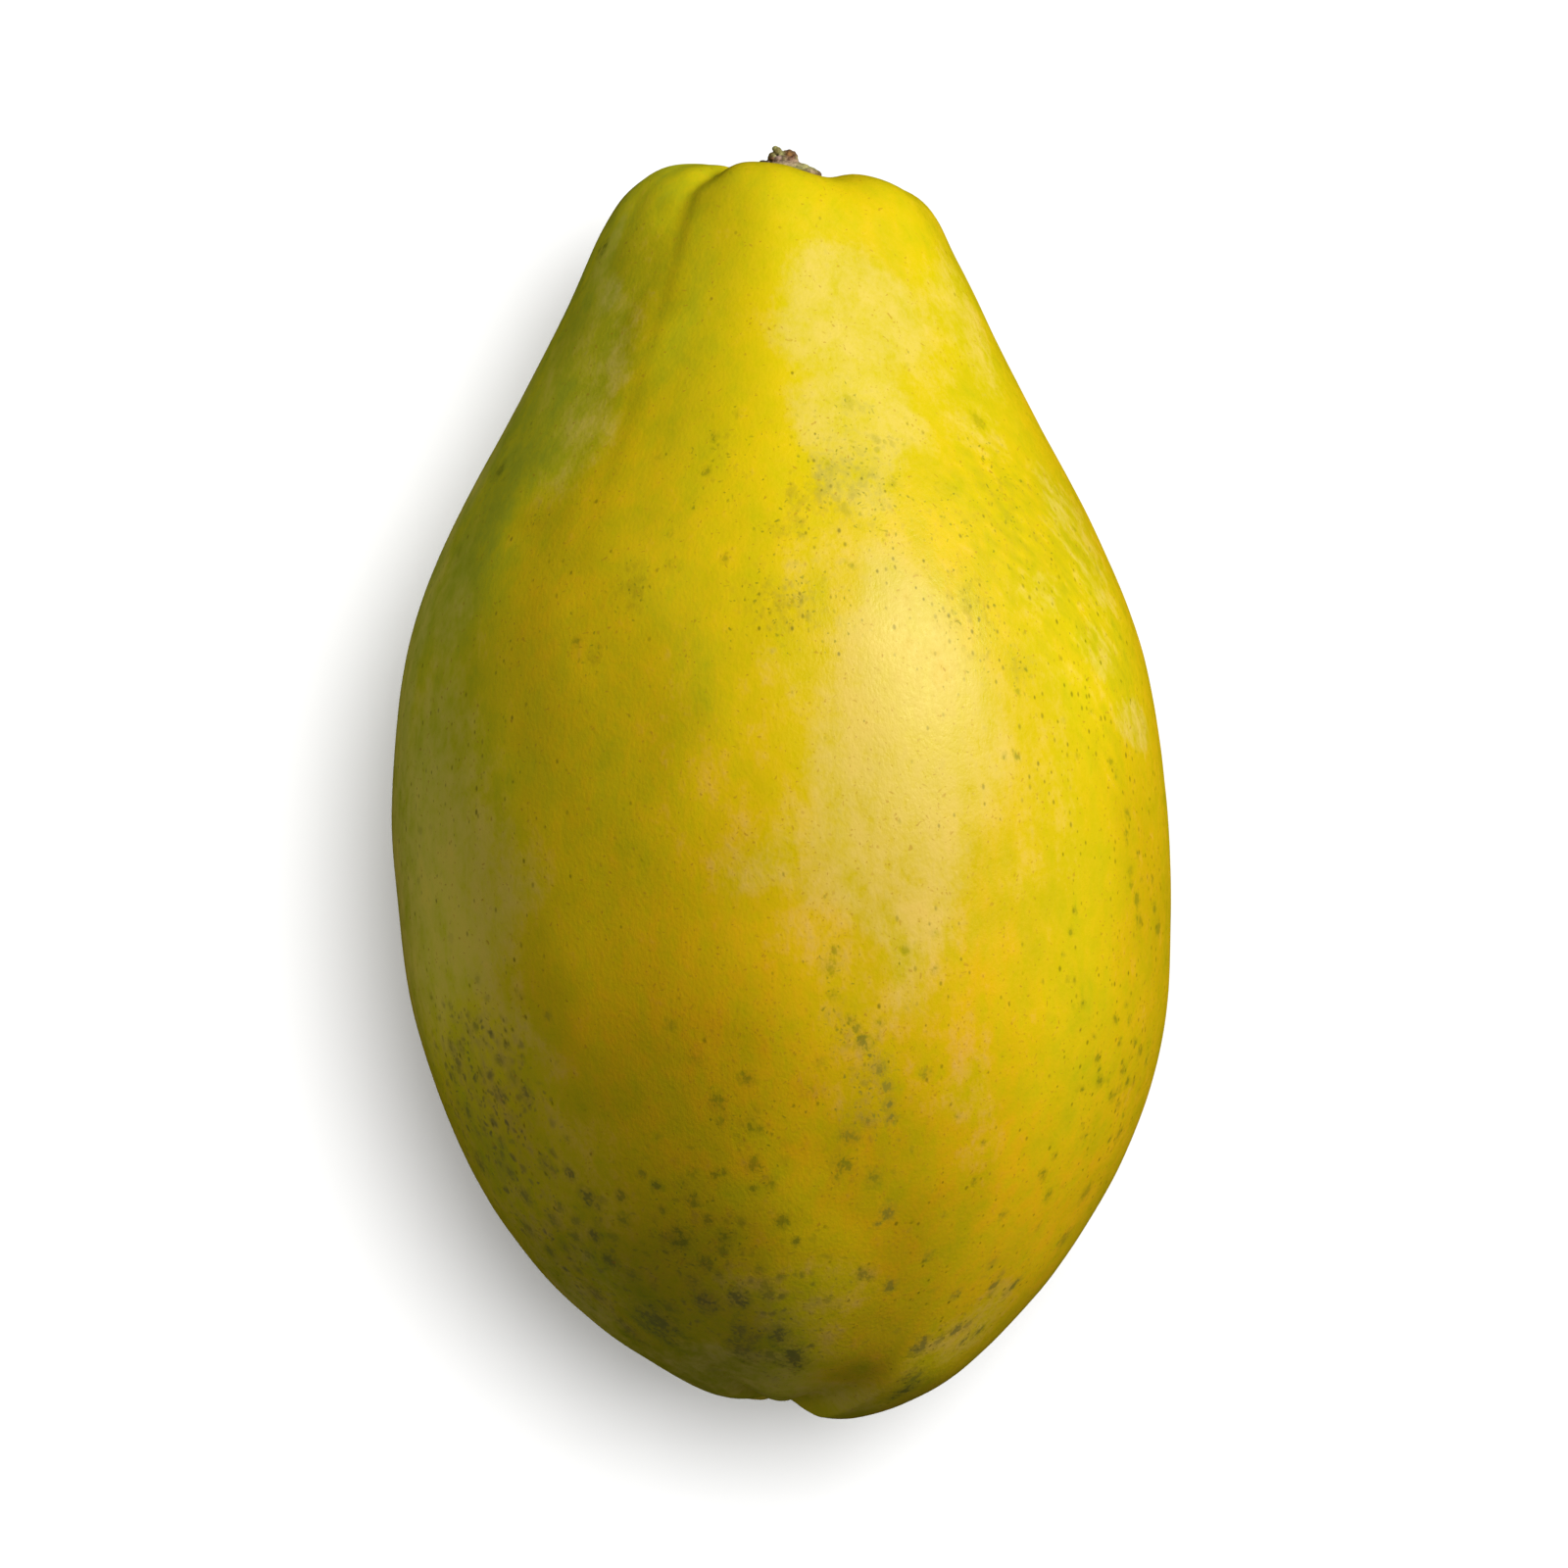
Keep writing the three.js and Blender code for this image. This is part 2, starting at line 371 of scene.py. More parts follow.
def bodyTree(inputs):
    tree, size = makeTree("papayaBody", inputs)
    length, seat = size["Length"], size["Seat Radius"]
    grid = makeNode(tree, "GeometryNodeMeshGrid", Size_X=1.0, Size_Y=1.0,
                    Vertices_X=size["Around"] + 1, Vertices_Y=size["Along"] + 1)
    across, up, _ = split(tree, makeNode(tree, "GeometryNodeInputPosition"))
    angle = (across + 0.25) * 360.0

    # the outline, sampled from the blossom end to the stem end
    line = makeNode(tree, "GeometryNodeMeshToCurve", Mesh=size["Geometry"])
    roundLine = makeNode(tree, "GeometryNodeCurveSplineType", {"spline_type": "CATMULL_ROM"}, Curve=line)
    fineLine = makeNode(tree, "GeometryNodeSetSplineResolution", Geometry=roundLine,
                        Resolution=body["outlineSteps"])
    sample = makeNode(tree, "GeometryNodeSampleCurve", {"mode": "FACTOR"}, Curves=fineLine,
                      Factor=up + 0.5)
    radius, along, _ = split(tree, sample.outputs["Position"])
    inward, outward, _ = split(tree, sample.outputs["Tangent"])

    # long ridges, grooves and lobes at both ends, folds
    turns = (angle - size["Lobe 1 Crest"]) * math.radians(len(body["lobes"]))
    rise, full, sink, end = (station * mm for station in body["ridgeRun"])
    ridgeFade = along.smooth(rise, full) * along.smooth(sink, end, 1.0, 0.0)
    inset = size["Ridge Height"] * ridgeFade * (turns.use("COSINE") * -0.5 + 0.5)
    fromStem = (length - body["rimDepth"] * mm - along).use("MAXIMUM", 0.0)
    blossomDepth, blossomWidth, blossomRun, blossomSharpness = body["blossomGroove"]
    inner, outer = (edge * mm for edge in body["blossomFade"])
    blossomFade = (along / (-blossomRun * mm)).use("EXPONENT") * radius.smooth(inner, outer)
    for middle, swing, depth, width, run, sharpness in featureFields(size, "Groove"):
        swung = turnFrom(angle, middle + swing * fromStem.smooth(0.0, body["swingRun"] * mm))
        widened = width * (fromStem / (body["grooveSpread"] * mm) + 1.0)
        inset += depth * (fromStem / run * -1.0).use("EXPONENT") * bell(swung, widened, sharpness)
        notch = bell(turnFrom(angle, middle), blossomWidth, blossomSharpness)
        inset += blossomFade * notch * (blossomDepth * mm)
    for middle, station, width, reach, height in featureFields(size, "Fold"):
        away = (along - station).use("ABSOLUTE")
        inset -= height * bell(turnFrom(angle, middle), width) * bell(away, reach)
    step = body["lobeStep"]
    inner, outer = (edge * mm for edge in body["lobeFade"])
    for crest, reach in featureFields(size, "Lobe"):
        beyond = turnFrom(angle, crest) - 180.0 / len(body["lobes"])
        lobeFade = bell(along, body["lobeRun"] * mm) * radius.smooth(inner, outer)
        inset -= reach * beyond.smooth(-step, step, 1.0, 0.0) * lobeFade
    onStemHalf = along.use("GREATER_THAN", body["length"] / 2 * mm)
    offSeat = 1.0 - radius.smooth(seat, seat + body["seatEdge"] * mm, 1.0, 0.0) * onStemHalf

    # soft unevenness
    radians = angle * math.radians(1)
    cosine, sine = radians.use("COSINE"), radians.use("SINE")
    spot = makeNode(tree, "ShaderNodeCombineXYZ", X=radius * cosine, Y=along, Z=radius * sine)
    for kind in ("Swell", "Dent"):
        inset += makeNoise(tree, spot, size[f"{kind} Size"], 1.0, 0.5) * size[f"{kind} Depth"] * 2.0
    inset = inset * offSeat

    # the askew, slightly bent fruit, laid down
    radius, along = radius - inset * outward, along + inset * inward
    x = radius * cosine
    shift, edge = (part * mm for part in body["stubShift"])
    atStub = radius.smooth(seat, edge, 1.0, 0.0) * along.smooth(length - 4 * mm, length - 1 * mm)
    blossomEnd, stemStart = (station * mm for station in body["slopeRun"])
    skew = (size["Stem Slope"] * along.smooth(stemStart, length - 5 * mm)
            + size["Blossom Slope"] * along.smooth(0.0, blossomEnd, 1.0, 0.0))
    laid = makeNode(tree, "ShaderNodeCombineXYZ", X=x + spineShift(tree, along) + atStub * shift,
                    Y=along - x * skew - length * 0.5, Z=radius * sine * size["Height Share"])
    turned = makeNode(tree, "ShaderNodeVectorRotate", {"rotation_type": "X_AXIS"}, Vector=laid,
                      Angle=size["Pitch"] * -1.0)
    onPoints = {"data_type": "FLOAT_VECTOR", "domain": "POINT"}
    kept = makeNode(tree, "GeometryNodeStoreNamedAttribute", onPoints, Geometry=grid, Name="fruitPlace",
                    Value=spot)
    moved = makeNode(tree, "GeometryNodeSetPosition", Geometry=kept, Position=turned)
    merged = makeNode(tree, "GeometryNodeMergeByDistance", Geometry=moved,
                      Distance=body["mergeDistance"] * mm)
    return endTree(tree, merged, size["Peel"])


def makeBody(peelSkin):
    outline = [(radius * mm, along * mm, 0) for radius, along in body["outline"]]
    piece = newPiece("papayaFruit", outline, [(i, i + 1) for i in range(len(outline) - 1)])
    inputs = bodyInputs(peelSkin)
    runTree(piece, bodyTree(inputs), inputs)
    closeMesh(piece.data, body["mergeDistance"] * mm)
    places = readRows(piece.data.vertices, "co", np.float32)
    low, high = places.min(0), places.max(0)
    places[:, 0] += (fruitLow.x + fruitHigh.x - low[0] - high[0]) / 2
    places[:, 1] += (fruitLow.y + fruitHigh.y - low[1] - high[1]) / 2
    places[:, 2] += fruitHigh.z - high[2]
    places[:, 2] = np.maximum(places[:, 2], 0)  # the flat spot it lies on
    piece.data.vertices.foreach_set("co", places.ravel())
    piece.data.update()
    print("body:", len(piece.data.polygons), "faces")
    return piece


# patches on the peel: turn in degrees from the right over the top, station from the blossom end in mm,
# half width in degrees, half length in mm, value
peel = {
    "ripenessAlong": [  # station, 0 green to 1 orange
        (0, 0.38), (5, 0.43), (15, 0.76), (25, 0.86), (45, 0.88), (55, 0.83), (65, 0.76), (75, 0.71),
        (85, 0.65), (105, 0.61), (125, 0.57), (148, 0.51)],
    "ripeness": [  # patches over that
        (160, 70, 23, 95, 0.38), (160, 118, 15, 36, 0.08), (148, 96, 9, 13, 0.26),
        (150, 144, 16, 6, 0.0), (135, 132, 11, 16, 0.28), (112, 125, 7, 5, 0.36),
        (115, 145, 11, 6, 0.38), (124, 82, 8, 24, 0.7), (130, 94, 6, 6, 0.76), (119, 98, 3, 17, 0.74),
        (104, 86, 7, 10, 0.7), (122, 8, 26, 10, 0.46), (130, 12, 7, 4, 0.36), (40, 58, 9, 24, 0.6),
        (48, 42, 8, 8, 0.7), (36, 93, 13, 10, 0.56), (30, 26, 12, 6, 0.92), (60, 28, 15, 9, 0.93),
        (95, 49, 16, 9, 0.95), (10, 70, 9, 70, 0.78), (57, 9, 16, 7, 0.75), (137, 82, 6, 8, 0.4),
        (150, 104, 14, 10, 0.08), (116, 110, 8, 8, 0.74), (76, 84, 16, 20, 0.76),
        (68, 134, 14, 14, 0.64), (78, 64, 14, 12, 0.84), (120, 70, 5, 14, 0.78), (28, 100, 8, 12, 0.54),
        (152, 42, 9, 12, 0.5), (40, 16, 26, 7, 0.9), (95, 25, 6, 4, 0.74), (105, 19, 6, 4, 0.6),
        (145, 145, 14, 6, 0.14), (152, 131, 7, 6, 0.24), (38, 83, 6, 5, 0.5), (40, 46, 8, 5, 0.62),
        (22, 45, 8, 7, 0.76), (78, 60, 12, 8, 0.93), (93, 43, 10, 5, 1.04), (112, 41, 7, 6, 0.97),
        (126, 28, 7, 6, 0.6), (136, 30, 5, 8, 0.55), (98, 47.5, 5, 2.4, 1.1), (82, 34, 5, 3, 1.02),
        (97, 26, 9, 3, 0.62), (146, 33, 4, 4, 0.64), (72, 21, 12, 5, 0.98), (33, 26, 10, 6, 1.02),
        (135, 14, 5, 4, 0.26), (130, 95, 6, 8, 0.82), (18, 20, 7, 6, 0.97), (250, 60, 40, 40, 0.62),
        (300, 100, 25, 40, 0.5), (215, 110, 30, 40, 0.2), (260, 12, 60, 12, 0.35)],
    "uneven": [  # how strongly the colours are mottled
        (75, 72, 22, 24, 0.5), (104, 78, 9, 14, 0.6), (72, 125, 34, 22, 0.62), (95, 40, 26, 18, 1.5),
        (45, 30, 22, 16, 1.35), (65, 30, 14, 16, 1.6), (128, 116, 14, 14, 1.3), (110, 76, 12, 18, 1.5),
        (132, 24, 30, 14, 1.5), (100, 12, 30, 8, 1.4)],
    # partly the peel's own tone; painted shade along the crease by the stem, painted light on the left
    # lobe's shoulder and the neck's left edge, mild painted light and shade on the long ridges
    "shade": [  # how light the peel is, in places painted light and painted shade
        (157, 85, 14, 60, 0.84), (150, 53, 9, 16, 0.94), (118, 68, 5, 48, 0.74), (131, 75, 6, 25, 0.93),
        (100, 92, 7, 34, 0.9), (90, 85, 6, 75, 0.84), (130, 94, 6, 5, 0.95), (125, 43, 7, 6, 0.86),
        (30, 24, 15, 10, 0.97), (110, 76, 4, 5, 0.72), (112, 123, 8, 5, 0.68), (64, 94, 6, 5, 0.74),
        (30, 106, 18, 7, 0.71), (23, 60, 10, 14, 0.66), (76, 37, 7, 6, 0.68), (72, 25, 6, 8, 0.7),
        (105, 20, 12, 6, 0.68), (130, 11, 22, 9, 0.54), (103, 8, 9, 5, 0.52), (150, 17, 18, 7, 0.62),
        (155, 29, 14, 5, 0.74), (138, 118, 12, 10, 0.75), (127, 131, 6, 12, 0.6),
        (153, 138, 10, 7, 1.16), (139, 134, 6, 7, 0.68), (127, 143, 5, 4, 0.92),
        (170, 112, 8, 26, 1.16), (148, 119, 9, 7, 0.88), (90, 4, 14, 3, 1.0), (32, 16, 14, 6, 0.86),
        (160, 125, 8, 20, 1.0), (150, 62, 12, 20, 1.0), (152, 145, 10, 5, 1.4), (80, 124, 13, 24, 0.87),
        (110, 142, 8, 6, 0.62), (124, 127, 4, 6, 0.57), (116, 124, 5, 8, 0.79), (116, 108, 4, 9, 0.82),
        (132, 105, 4, 5, 0.76), (85, 13, 10, 5, 0.86), (135, 100, 5, 7, 1.04), (155, 50, 9, 10, 1.1),
        (86, 20, 4, 4, 0.98), (20, 20, 10, 7, 1.02), (86, 12, 9, 5, 0.93), (74, 7, 16, 4, 1.06),
        (110, 7, 20, 4, 0.66), (230, 30, 25, 18, 0.66), (290, 70, 20, 20, 0.7)],
    "wax": [  # pale waxy skin; round the gloss on the top (turns 60 to 90, stations 50 to 105) also painted sheen
        (150, 63, 19, 24, 0.62), (153, 96, 9, 8, 0.4), (134, 119, 11, 12, 0.4), (148, 126, 10, 13, 0.3),
        (168, 85, 7, 45, 0.6), (69, 129, 21, 10, 0.55), (35, 130, 16, 9, 0.36), (74, 113, 13, 9, 0.55),
        (47, 118, 13, 5, 0.3), (72, 76, 15, 26, 0.5), (75, 66, 12, 13, 0.6), (93, 65, 6, 7, 0.5),
        (104, 79, 5, 10, 0.46), (91, 84, 4, 6, 0.3), (70, 90, 9, 10, 0.6), (50, 75, 8, 20, 0.25),
        (83, 54, 6, 6, 0.28), (79, 44, 5, 6, 0.28), (65, 43, 10, 6, 0.16), (62, 38, 6, 4, 0.3),
        (59, 30, 6, 5, 0.22), (82, 14, 9, 4, 0.3), (98, 13, 8, 4, 0.26), (82, 9, 14, 4, 0.3),
        (46, 98, 8, 4, 0.36), (34, 90, 7, 4, 0.4), (24, 82, 6, 4, 0.42), (24, 104, 10, 9, 0.34),
        (100, 75, 10, 16, 0.1), (82, 98, 8, 6, 0.3), (92, 3, 70, 4, 0.5), (30, 12, 14, 5, 0.4),
        (150, 137, 6, 4, 0.5), (142, 132, 4, 3, 0.5), (160, 12, 14, 8, 0.5), (145, 42, 14, 6, 0.4),
        (143, 25, 27, 15, 0.24), (220, 80, 25, 30, 0.6), (280, 45, 30, 20, 0.5), (330, 90, 20, 30, 0.5)],
    "freckles": [  # how thickly the slim dark dots lie
        (48, 91, 15, 8, 0.8), (26, 63, 10, 15, 0.95), (28, 40, 12, 9, 1.0), (47, 76, 10, 8, 0.8),
        (72, 50, 14, 9, 0.4), (88, 93, 6, 3, 0.7), (60, 93, 5, 5, 0.8), (75, 108, 12, 8, 0.45),
        (35, 13, 14, 6, 0.7), (150, 38, 14, 12, 0.6), (145, 75, 20, 18, 0.35), (113, 96, 3, 3, 0.9),
        (60, 22, 12, 6, 0.5), (240, 60, 40, 30, 0.6), (320, 50, 25, 30, 0.6)],
    "blots": [  # where the soft grey-green marks lie thickly
        (150, 40, 12, 9, 0.75), (155, 31, 13, 8, 0.8), (145, 22, 18, 8, 0.6), (125, 17, 20, 8, 0.4),
        (108, 20, 16, 10, 0.5), (150, 15, 16, 8, 0.6), (95, 10, 28, 6, 0.6), (100, 36, 8, 6, 0.34),
        (78, 42, 5, 10, 0.42), (80, 32, 8, 5, 0.34), (81, 108, 7, 6, 0.42), (87, 93, 6, 4, 0.36),
        (70, 110, 10, 7, 0.36), (60, 94, 5, 4, 0.34), (113, 96, 4, 4, 0.4), (38, 108, 10, 7, 0.36),
        (20, 100, 8, 10, 0.36), (32, 16, 14, 4, 0.45), (28, 38, 14, 8, 0.26), (156, 70, 7, 10, 0.34),
        (155, 108, 6, 6, 0.4), (225, 40, 40, 20, 0.5), (300, 45, 40, 25, 0.4)],
    "spots": [  # single marks: turn, station, radius in tenths of a mm, how dark in tenths
        # lower left flank
        (145, 46, 5, 7), (154, 43.5, 8, 7), (151, 43.5, 7, 7), (147, 45.5, 5, 4), (154, 41, 7, 6),
        (157, 40, 7, 6), (141, 42, 7, 7), (139, 40, 8, 5), (143.5, 38, 9, 10), (137, 38, 8, 9),
        (147, 40.5, 5, 6), (156, 36, 8, 8), (159, 37, 6, 6), (148, 35, 7, 5), (155, 33.5, 6, 6),
        (152, 34, 6, 6), (148, 32.5, 7, 6), (149.5, 31, 6, 6), (151, 30, 6, 6), (160, 30, 12, 8),
        (149, 29, 8, 7), (137.5, 30, 8, 7), (136, 29.3, 6, 6), (132.3, 29, 7, 10), (147.5, 26.3, 9, 8),
        (130, 26.2, 9, 10), (128.5, 25.2, 6, 7), (122.5, 26.4, 6, 8), (138, 25, 6, 6),
        (123.3, 23.7, 7, 6), (142, 23.4, 9, 7), (135.5, 23.2, 7, 6), (130, 23, 5, 5),
        (132.2, 21.5, 8, 10), (138, 21.3, 7, 6), (127.5, 21.5, 7, 4), (154, 22, 10, 7),
        (143.5, 19.7, 7, 5), (137, 18.8, 7, 6), (131, 18.2, 9, 9), (127, 16.5, 7, 6), (151, 19, 8, 7),
        (145, 13.3, 9, 7), (145, 8.5, 12, 7), (134.5, 9.8, 10, 6), (128, 10.2, 19, 9),
        (138.5, 43.8, 5, 7), (137.4, 46.6, 3.5, 7), (137.8, 45.4, 3.5, 6), (133, 49.4, 5, 5),
        (142, 51.3, 5, 4), (151, 48.3, 5, 5), (157, 49.4, 5, 5), (128.3, 47, 6, 5), (130.5, 33, 4, 5),
        (120.5, 12.4, 8, 5), (122, 15.2, 5, 4),
        # middle of the lower half
        (117, 29, 5, 7), (114.8, 27.6, 6, 10), (114.8, 25, 5, 7), (116, 21.5, 5, 7),
        (112.5, 21.3, 11, 10), (108.3, 26, 7, 8), (106, 23.7, 6, 8), (103.4, 29, 5, 8),
        (102, 29.3, 4, 7), (107.5, 29, 5, 4), (97, 40, 7, 9), (102, 37.3, 8, 8), (101.7, 35, 5, 6),
        (96.8, 34.6, 5, 8), (95.4, 34.4, 5, 7), (96.8, 30.3, 7, 8), (94, 28.3, 7, 7), (97, 27.4, 5, 8),
        (92, 24, 7, 8), (89.1, 21.5, 5, 9), (103.3, 21.7, 8, 8), (103.8, 20, 6, 7), (108, 18.3, 8, 8),
        (105.3, 17, 5, 7), (111.6, 16, 8, 6), (96.3, 18, 5, 5), (109.8, 13.3, 11, 10),
        (100.8, 14.3, 10, 10), (95.2, 16, 9, 6), (94, 14.9, 7, 7), (102, 10.2, 9, 8),
        (91, 10.1, 10, 10), (103, 7.8, 13, 7), (93.6, 7.3, 8, 6), (86, 7.4, 13, 10), (99, 9, 8, 6),
        (80.5, 45.7, 5, 8), (79.3, 44, 8, 10), (77, 46.2, 5, 7), (81.3, 46.7, 5, 7), (77, 41.3, 8, 8),
        (75.5, 39.1, 6, 7), (75, 37, 6, 9), (74.6, 35.5, 6, 9), (78.2, 35, 6, 8), (81.5, 33.7, 8, 8),
        (80.1, 33.3, 6, 7), (82, 30.2, 7, 9), (81, 30, 5, 8), (82.8, 28.8, 5, 7), (76.3, 28.7, 8, 7),
        (72.6, 24.8, 8, 8), (74, 23.4, 4, 8), (74.3, 17.9, 7, 8), (72.3, 17.9, 6, 7),
        (66.8, 16.6, 6, 8), (61, 19.9, 5, 8), (62.9, 35.6, 4, 9), (69.3, 40.5, 6, 6), (84, 52.7, 8, 6),
        (83.2, 54.4, 5, 7), (83.6, 49.4, 5, 6), (68.4, 52.4, 5, 7), (72.8, 54.6, 5, 5), (108, 46, 6, 5),
        (108.7, 43.4, 4, 4), (104.6, 42.2, 8, 3), (87, 38.7, 5, 4), (86, 42, 6, 3), (68.5, 56.6, 5, 5),
        # upper half
        (106.3, 98.3, 7, 4), (101.7, 113.7, 5, 8), (102.3, 109.5, 5, 7), (112.4, 111.4, 6, 3),
        (107, 102.2, 4, 7), (97.6, 99, 5, 6), (97.5, 116.2, 4, 6), (77.7, 98.4, 4, 6), (75, 118, 8, 3),
        (120.8, 89.8, 5, 7), (117.2, 89.4, 4, 6), (43, 117.3, 8, 4), (155, 136, 9, 8), (154, 111, 9, 7),
        # right flank
        (50, 87, 3.5, 9), (49, 86.1, 3, 9), (52, 84.2, 4, 5), (43.2, 81.2, 4, 6), (36.4, 82.3, 4, 6),
        (53.2, 76.7, 5, 8), (55.5, 76.9, 4, 7), (41, 77, 4, 6), (32.8, 76.6, 4.5, 6), (24, 78, 3, 8),
        (31.7, 75, 4, 7), (29.3, 70.8, 6, 7), (30.1, 68.4, 5, 8), (30, 67.5, 4, 8), (26.7, 66.1, 4, 9),
        (29.2, 64, 5, 5), (28.8, 62.3, 5, 6), (27.1, 60.6, 7, 8), (25.7, 63.1, 4, 7),
        (21.5, 63.1, 5, 6), (20.4, 59.7, 6, 8), (26.3, 58.4, 7, 7), (18.4, 57.5, 8, 7),
        (43.2, 59.1, 4, 8), (44, 56.7, 4, 7), (43.2, 51.1, 4, 7), (45.5, 54.1, 3.5, 7),
        (49.7, 51.1, 3, 7), (41.2, 48.6, 5, 9), (44.6, 51.3, 4, 7), (29.6, 48.6, 4, 7),
        (32.5, 46.7, 5, 7), (28.1, 46.7, 5, 6), (37.5, 44.8, 4, 9), (30.1, 44, 4.5, 8), (25, 44, 5, 8),
        (22.1, 43, 6, 7), (35.8, 42.3, 5.5, 8), (28.1, 41.7, 4, 8), (27, 40.8, 6, 7),
        (34.5, 40.9, 4, 9), (33.4, 39.5, 6, 9), (37.4, 38.6, 4, 9), (28.1, 38, 7, 8),
        (26.7, 38.7, 5, 8), (24.2, 39.5, 5, 9), (21.6, 39.3, 5, 8), (17.7, 42, 6, 7), (25, 36.7, 5, 7),
        (21.4, 35.6, 4, 7), (32.8, 33.3, 4, 9), (23.4, 32.8, 4, 9), (20, 33.4, 7, 7),
        (39.6, 30.8, 4, 8), (41.2, 28.6, 6, 9), (36.8, 26.3, 6, 7), (47.2, 24.2, 5, 6),
        (34.8, 22.8, 4, 7), (22.5, 26.4, 10, 6), (19.5, 21.4, 10, 6), (43.3, 19.2, 7, 4),
        (37.3, 16.8, 6, 9), (36.4, 16.2, 4, 8), (29.3, 16.7, 8, 10), (48.1, 15.9, 6, 6),
        (39.6, 12.3, 6, 9), (36.4, 12.8, 5, 6), (28.6, 12.2, 6, 9), (47.7, 10.5, 8, 9),
        (42.9, 11, 6, 7), (32.2, 11.3, 5, 9), (42.9, 7.3, 7, 6), (38.9, 7.3, 7, 7), (35, 5.9, 10, 10),
        (57, 32.4, 3.5, 9), (56.8, 28, 3.5, 8), (61, 24.2, 3.5, 6),
        # underside
        (210, 50, 13, 7), (222, 36, 11, 8), (236, 72, 10, 6), (300, 40, 12, 8), (312, 66, 10, 7),
        (345, 30, 10, 7), (352, 52, 6, 8), (4, 44, 6, 8), (2, 62, 6, 7), (185, 34, 9, 7),
        (192, 45, 7, 6), (250, 24, 10, 8), (268, 55, 9, 7), (284, 82, 8, 5), (330, 20, 9, 8)],
    "spotSize": 1.05,
    "spotLayers": 5,
    "spotGap": 3,  # spots of a layer lie at least this many radii apart, if they can
    "spotRims": [(0.1, 1.5, 0.9), (0.6, 2.6, 0.36)],  # dark middle, soft rim: from, to in radii, strength
    "blotFade": (0.2, 0.7, 0.3),  # marks are this faint below the first thickness, full above the second
    "clusters": [  # hazes of tiny green dots
        (75.5, 108.2, 7, 5, 0.75), (80.3, 109.8, 2, 1.4, 1.0), (82, 106.7, 2.5, 1.6, 1.0),
        (86, 106, 2, 1.4, 1.0), (89.5, 102.6, 2, 1.3, 0.9), (85.8, 102.6, 1.6, 1.2, 0.9),
        (73.6, 117.6, 3, 1.6, 0.7), (112.3, 96, 2.8, 2.8, 1.0), (87.7, 93.6, 6, 3.6, 0.9),
        (57.9, 94, 4, 5, 0.65), (50.9, 87.1, 2, 2, 0.8), (59.5, 104.5, 4, 2, 0.45),
        (117.5, 87.9, 1.8, 1.8, 0.8), (98.9, 111.8, 6, 5, 0.35), (43.5, 106.9, 7, 6, 0.5),
        (134.6, 105.2, 2, 2, 0.6), (82, 46, 2.4, 3, 0.7), (83.5, 53.5, 1.8, 2.4, 0.5),
        (77.5, 41, 2.6, 3, 0.8), (78.5, 35.5, 3, 2.4, 0.8), (101.5, 36.6, 2.2, 2.2, 0.8),
        (97, 34.5, 2.4, 2, 0.7), (96, 29, 2.6, 2.6, 0.7), (82.5, 30, 2.6, 2.2, 0.7),
        (109, 26.6, 3, 2.4, 0.7), (114.5, 21, 4, 2.6, 0.7), (88, 38, 4, 3, 0.35), (101, 21, 4, 3, 0.5)],
    "clusterVeil": (0.3, 1.5, 0.5),  # where the haze starts and is full, its strength
    "slant": [(46, 106, 12, 9, 0.9), (32, 95, 13, 13, 1.0), (28, 80, 9, 7, 0.7)],  # slanting streaks
    "slantGrain": ((0.36, -0.75, -0.55), 0.17, 1.6, 3.0),  # direction, squeeze, size in mm, detail
    "slantShares": {"ripeness": 0.5, "shade": 0.6, "wax": 1.8},
    "dull": [  # where the marks are grey rather than green
        (146, 28, 20, 22, 1.0), (105, 7, 45, 8, 0.9), (77, 43, 5, 6, 0.6), (73, 22, 6, 6, 0.7),
        (35, 12, 18, 7, 0.8), (225, 40, 50, 30, 0.7), (310, 35, 35, 25, 0.6)],
    "stipple": [  # where fine orange-brown dots lie thickly
        (78, 50, 22, 17, 0.6), (72, 42, 12, 9, 0.75), (97, 48, 5, 2.5, 1.2), (89, 47, 3, 2, 1.1),
        (65, 47, 5, 3, 1.1), (82, 30, 4, 3, 0.7), (118, 108, 3, 4, 0.4), (118, 89, 3, 4, 0.5),
        (25, 62, 8, 12, 0.5), (22, 26, 8, 6, 0.6), (45, 27, 14, 8, 0.35), (134, 47, 3, 3, 0.6),
        (70, 85, 12, 20, 0.3), (73, 64, 9, 9, 0.55), (66, 52, 8, 6, 0.5), (228, 90, 12, 9, 0.5),
        (290, 24, 14, 8, 0.5)],
    "waxAndSheenHardness": 3.0,  # of the patches' borders; 1 for the others
    "plain": {"uneven": 1, "shade": 0.78, "freckles": 0.06, "stipple": 0.25},  # off the patches, else 0
    "rings": {  # dry spot of the blossom, dry ring round the stub: radius in mm, sharpness, stations
        "scar": (1.3, 2, 0, 20), "callus": (6.3, 6, 130, 150)},
    "hues": [  # ripeness and the colour of the peel at it
        (0.0, (0.58, 0.61, 0.02)), (0.25, (0.66, 0.61, 0.006)), (0.5, (0.74, 0.595, 0.002)),
        (0.75, (0.77, 0.545, 0.001)), (1.0, (0.79, 0.475, 0.001)), (1.3, (0.75, 0.37, 0.002))],
    "ruffleSeed": 1,
    "ruffles": [(18, 5.0), (6, 2.0), (2.5, 0.8)],  # size and reach in mm of the waver at patches' borders
    "warps": [(1.6, 0.8), (0.6, 0.25)],  # the same for the outlines of the marks
    "grain": {  # size in mm, squeeze along the fruit
        "cloud": (12, 0.7), "mottle": (3.6, 0.7), "fleck": (1.2, 0.7), "speckle": (0.45, 0.7),
        "streak": (1.8, 0.22)},
    "mottling": {  # how much of each grain, in the order above
        "ripeness": (0.42, 0.55, 0.32, 0.22, 0.35), "shade": (0.3, 0.3, 0.13, 0.08, 0.1),
        "wax": (0.5, 0.75, 0.6, 0.4, 0.45), "crowd": (0, 3), "haze": (0, 0.6, 0.9),
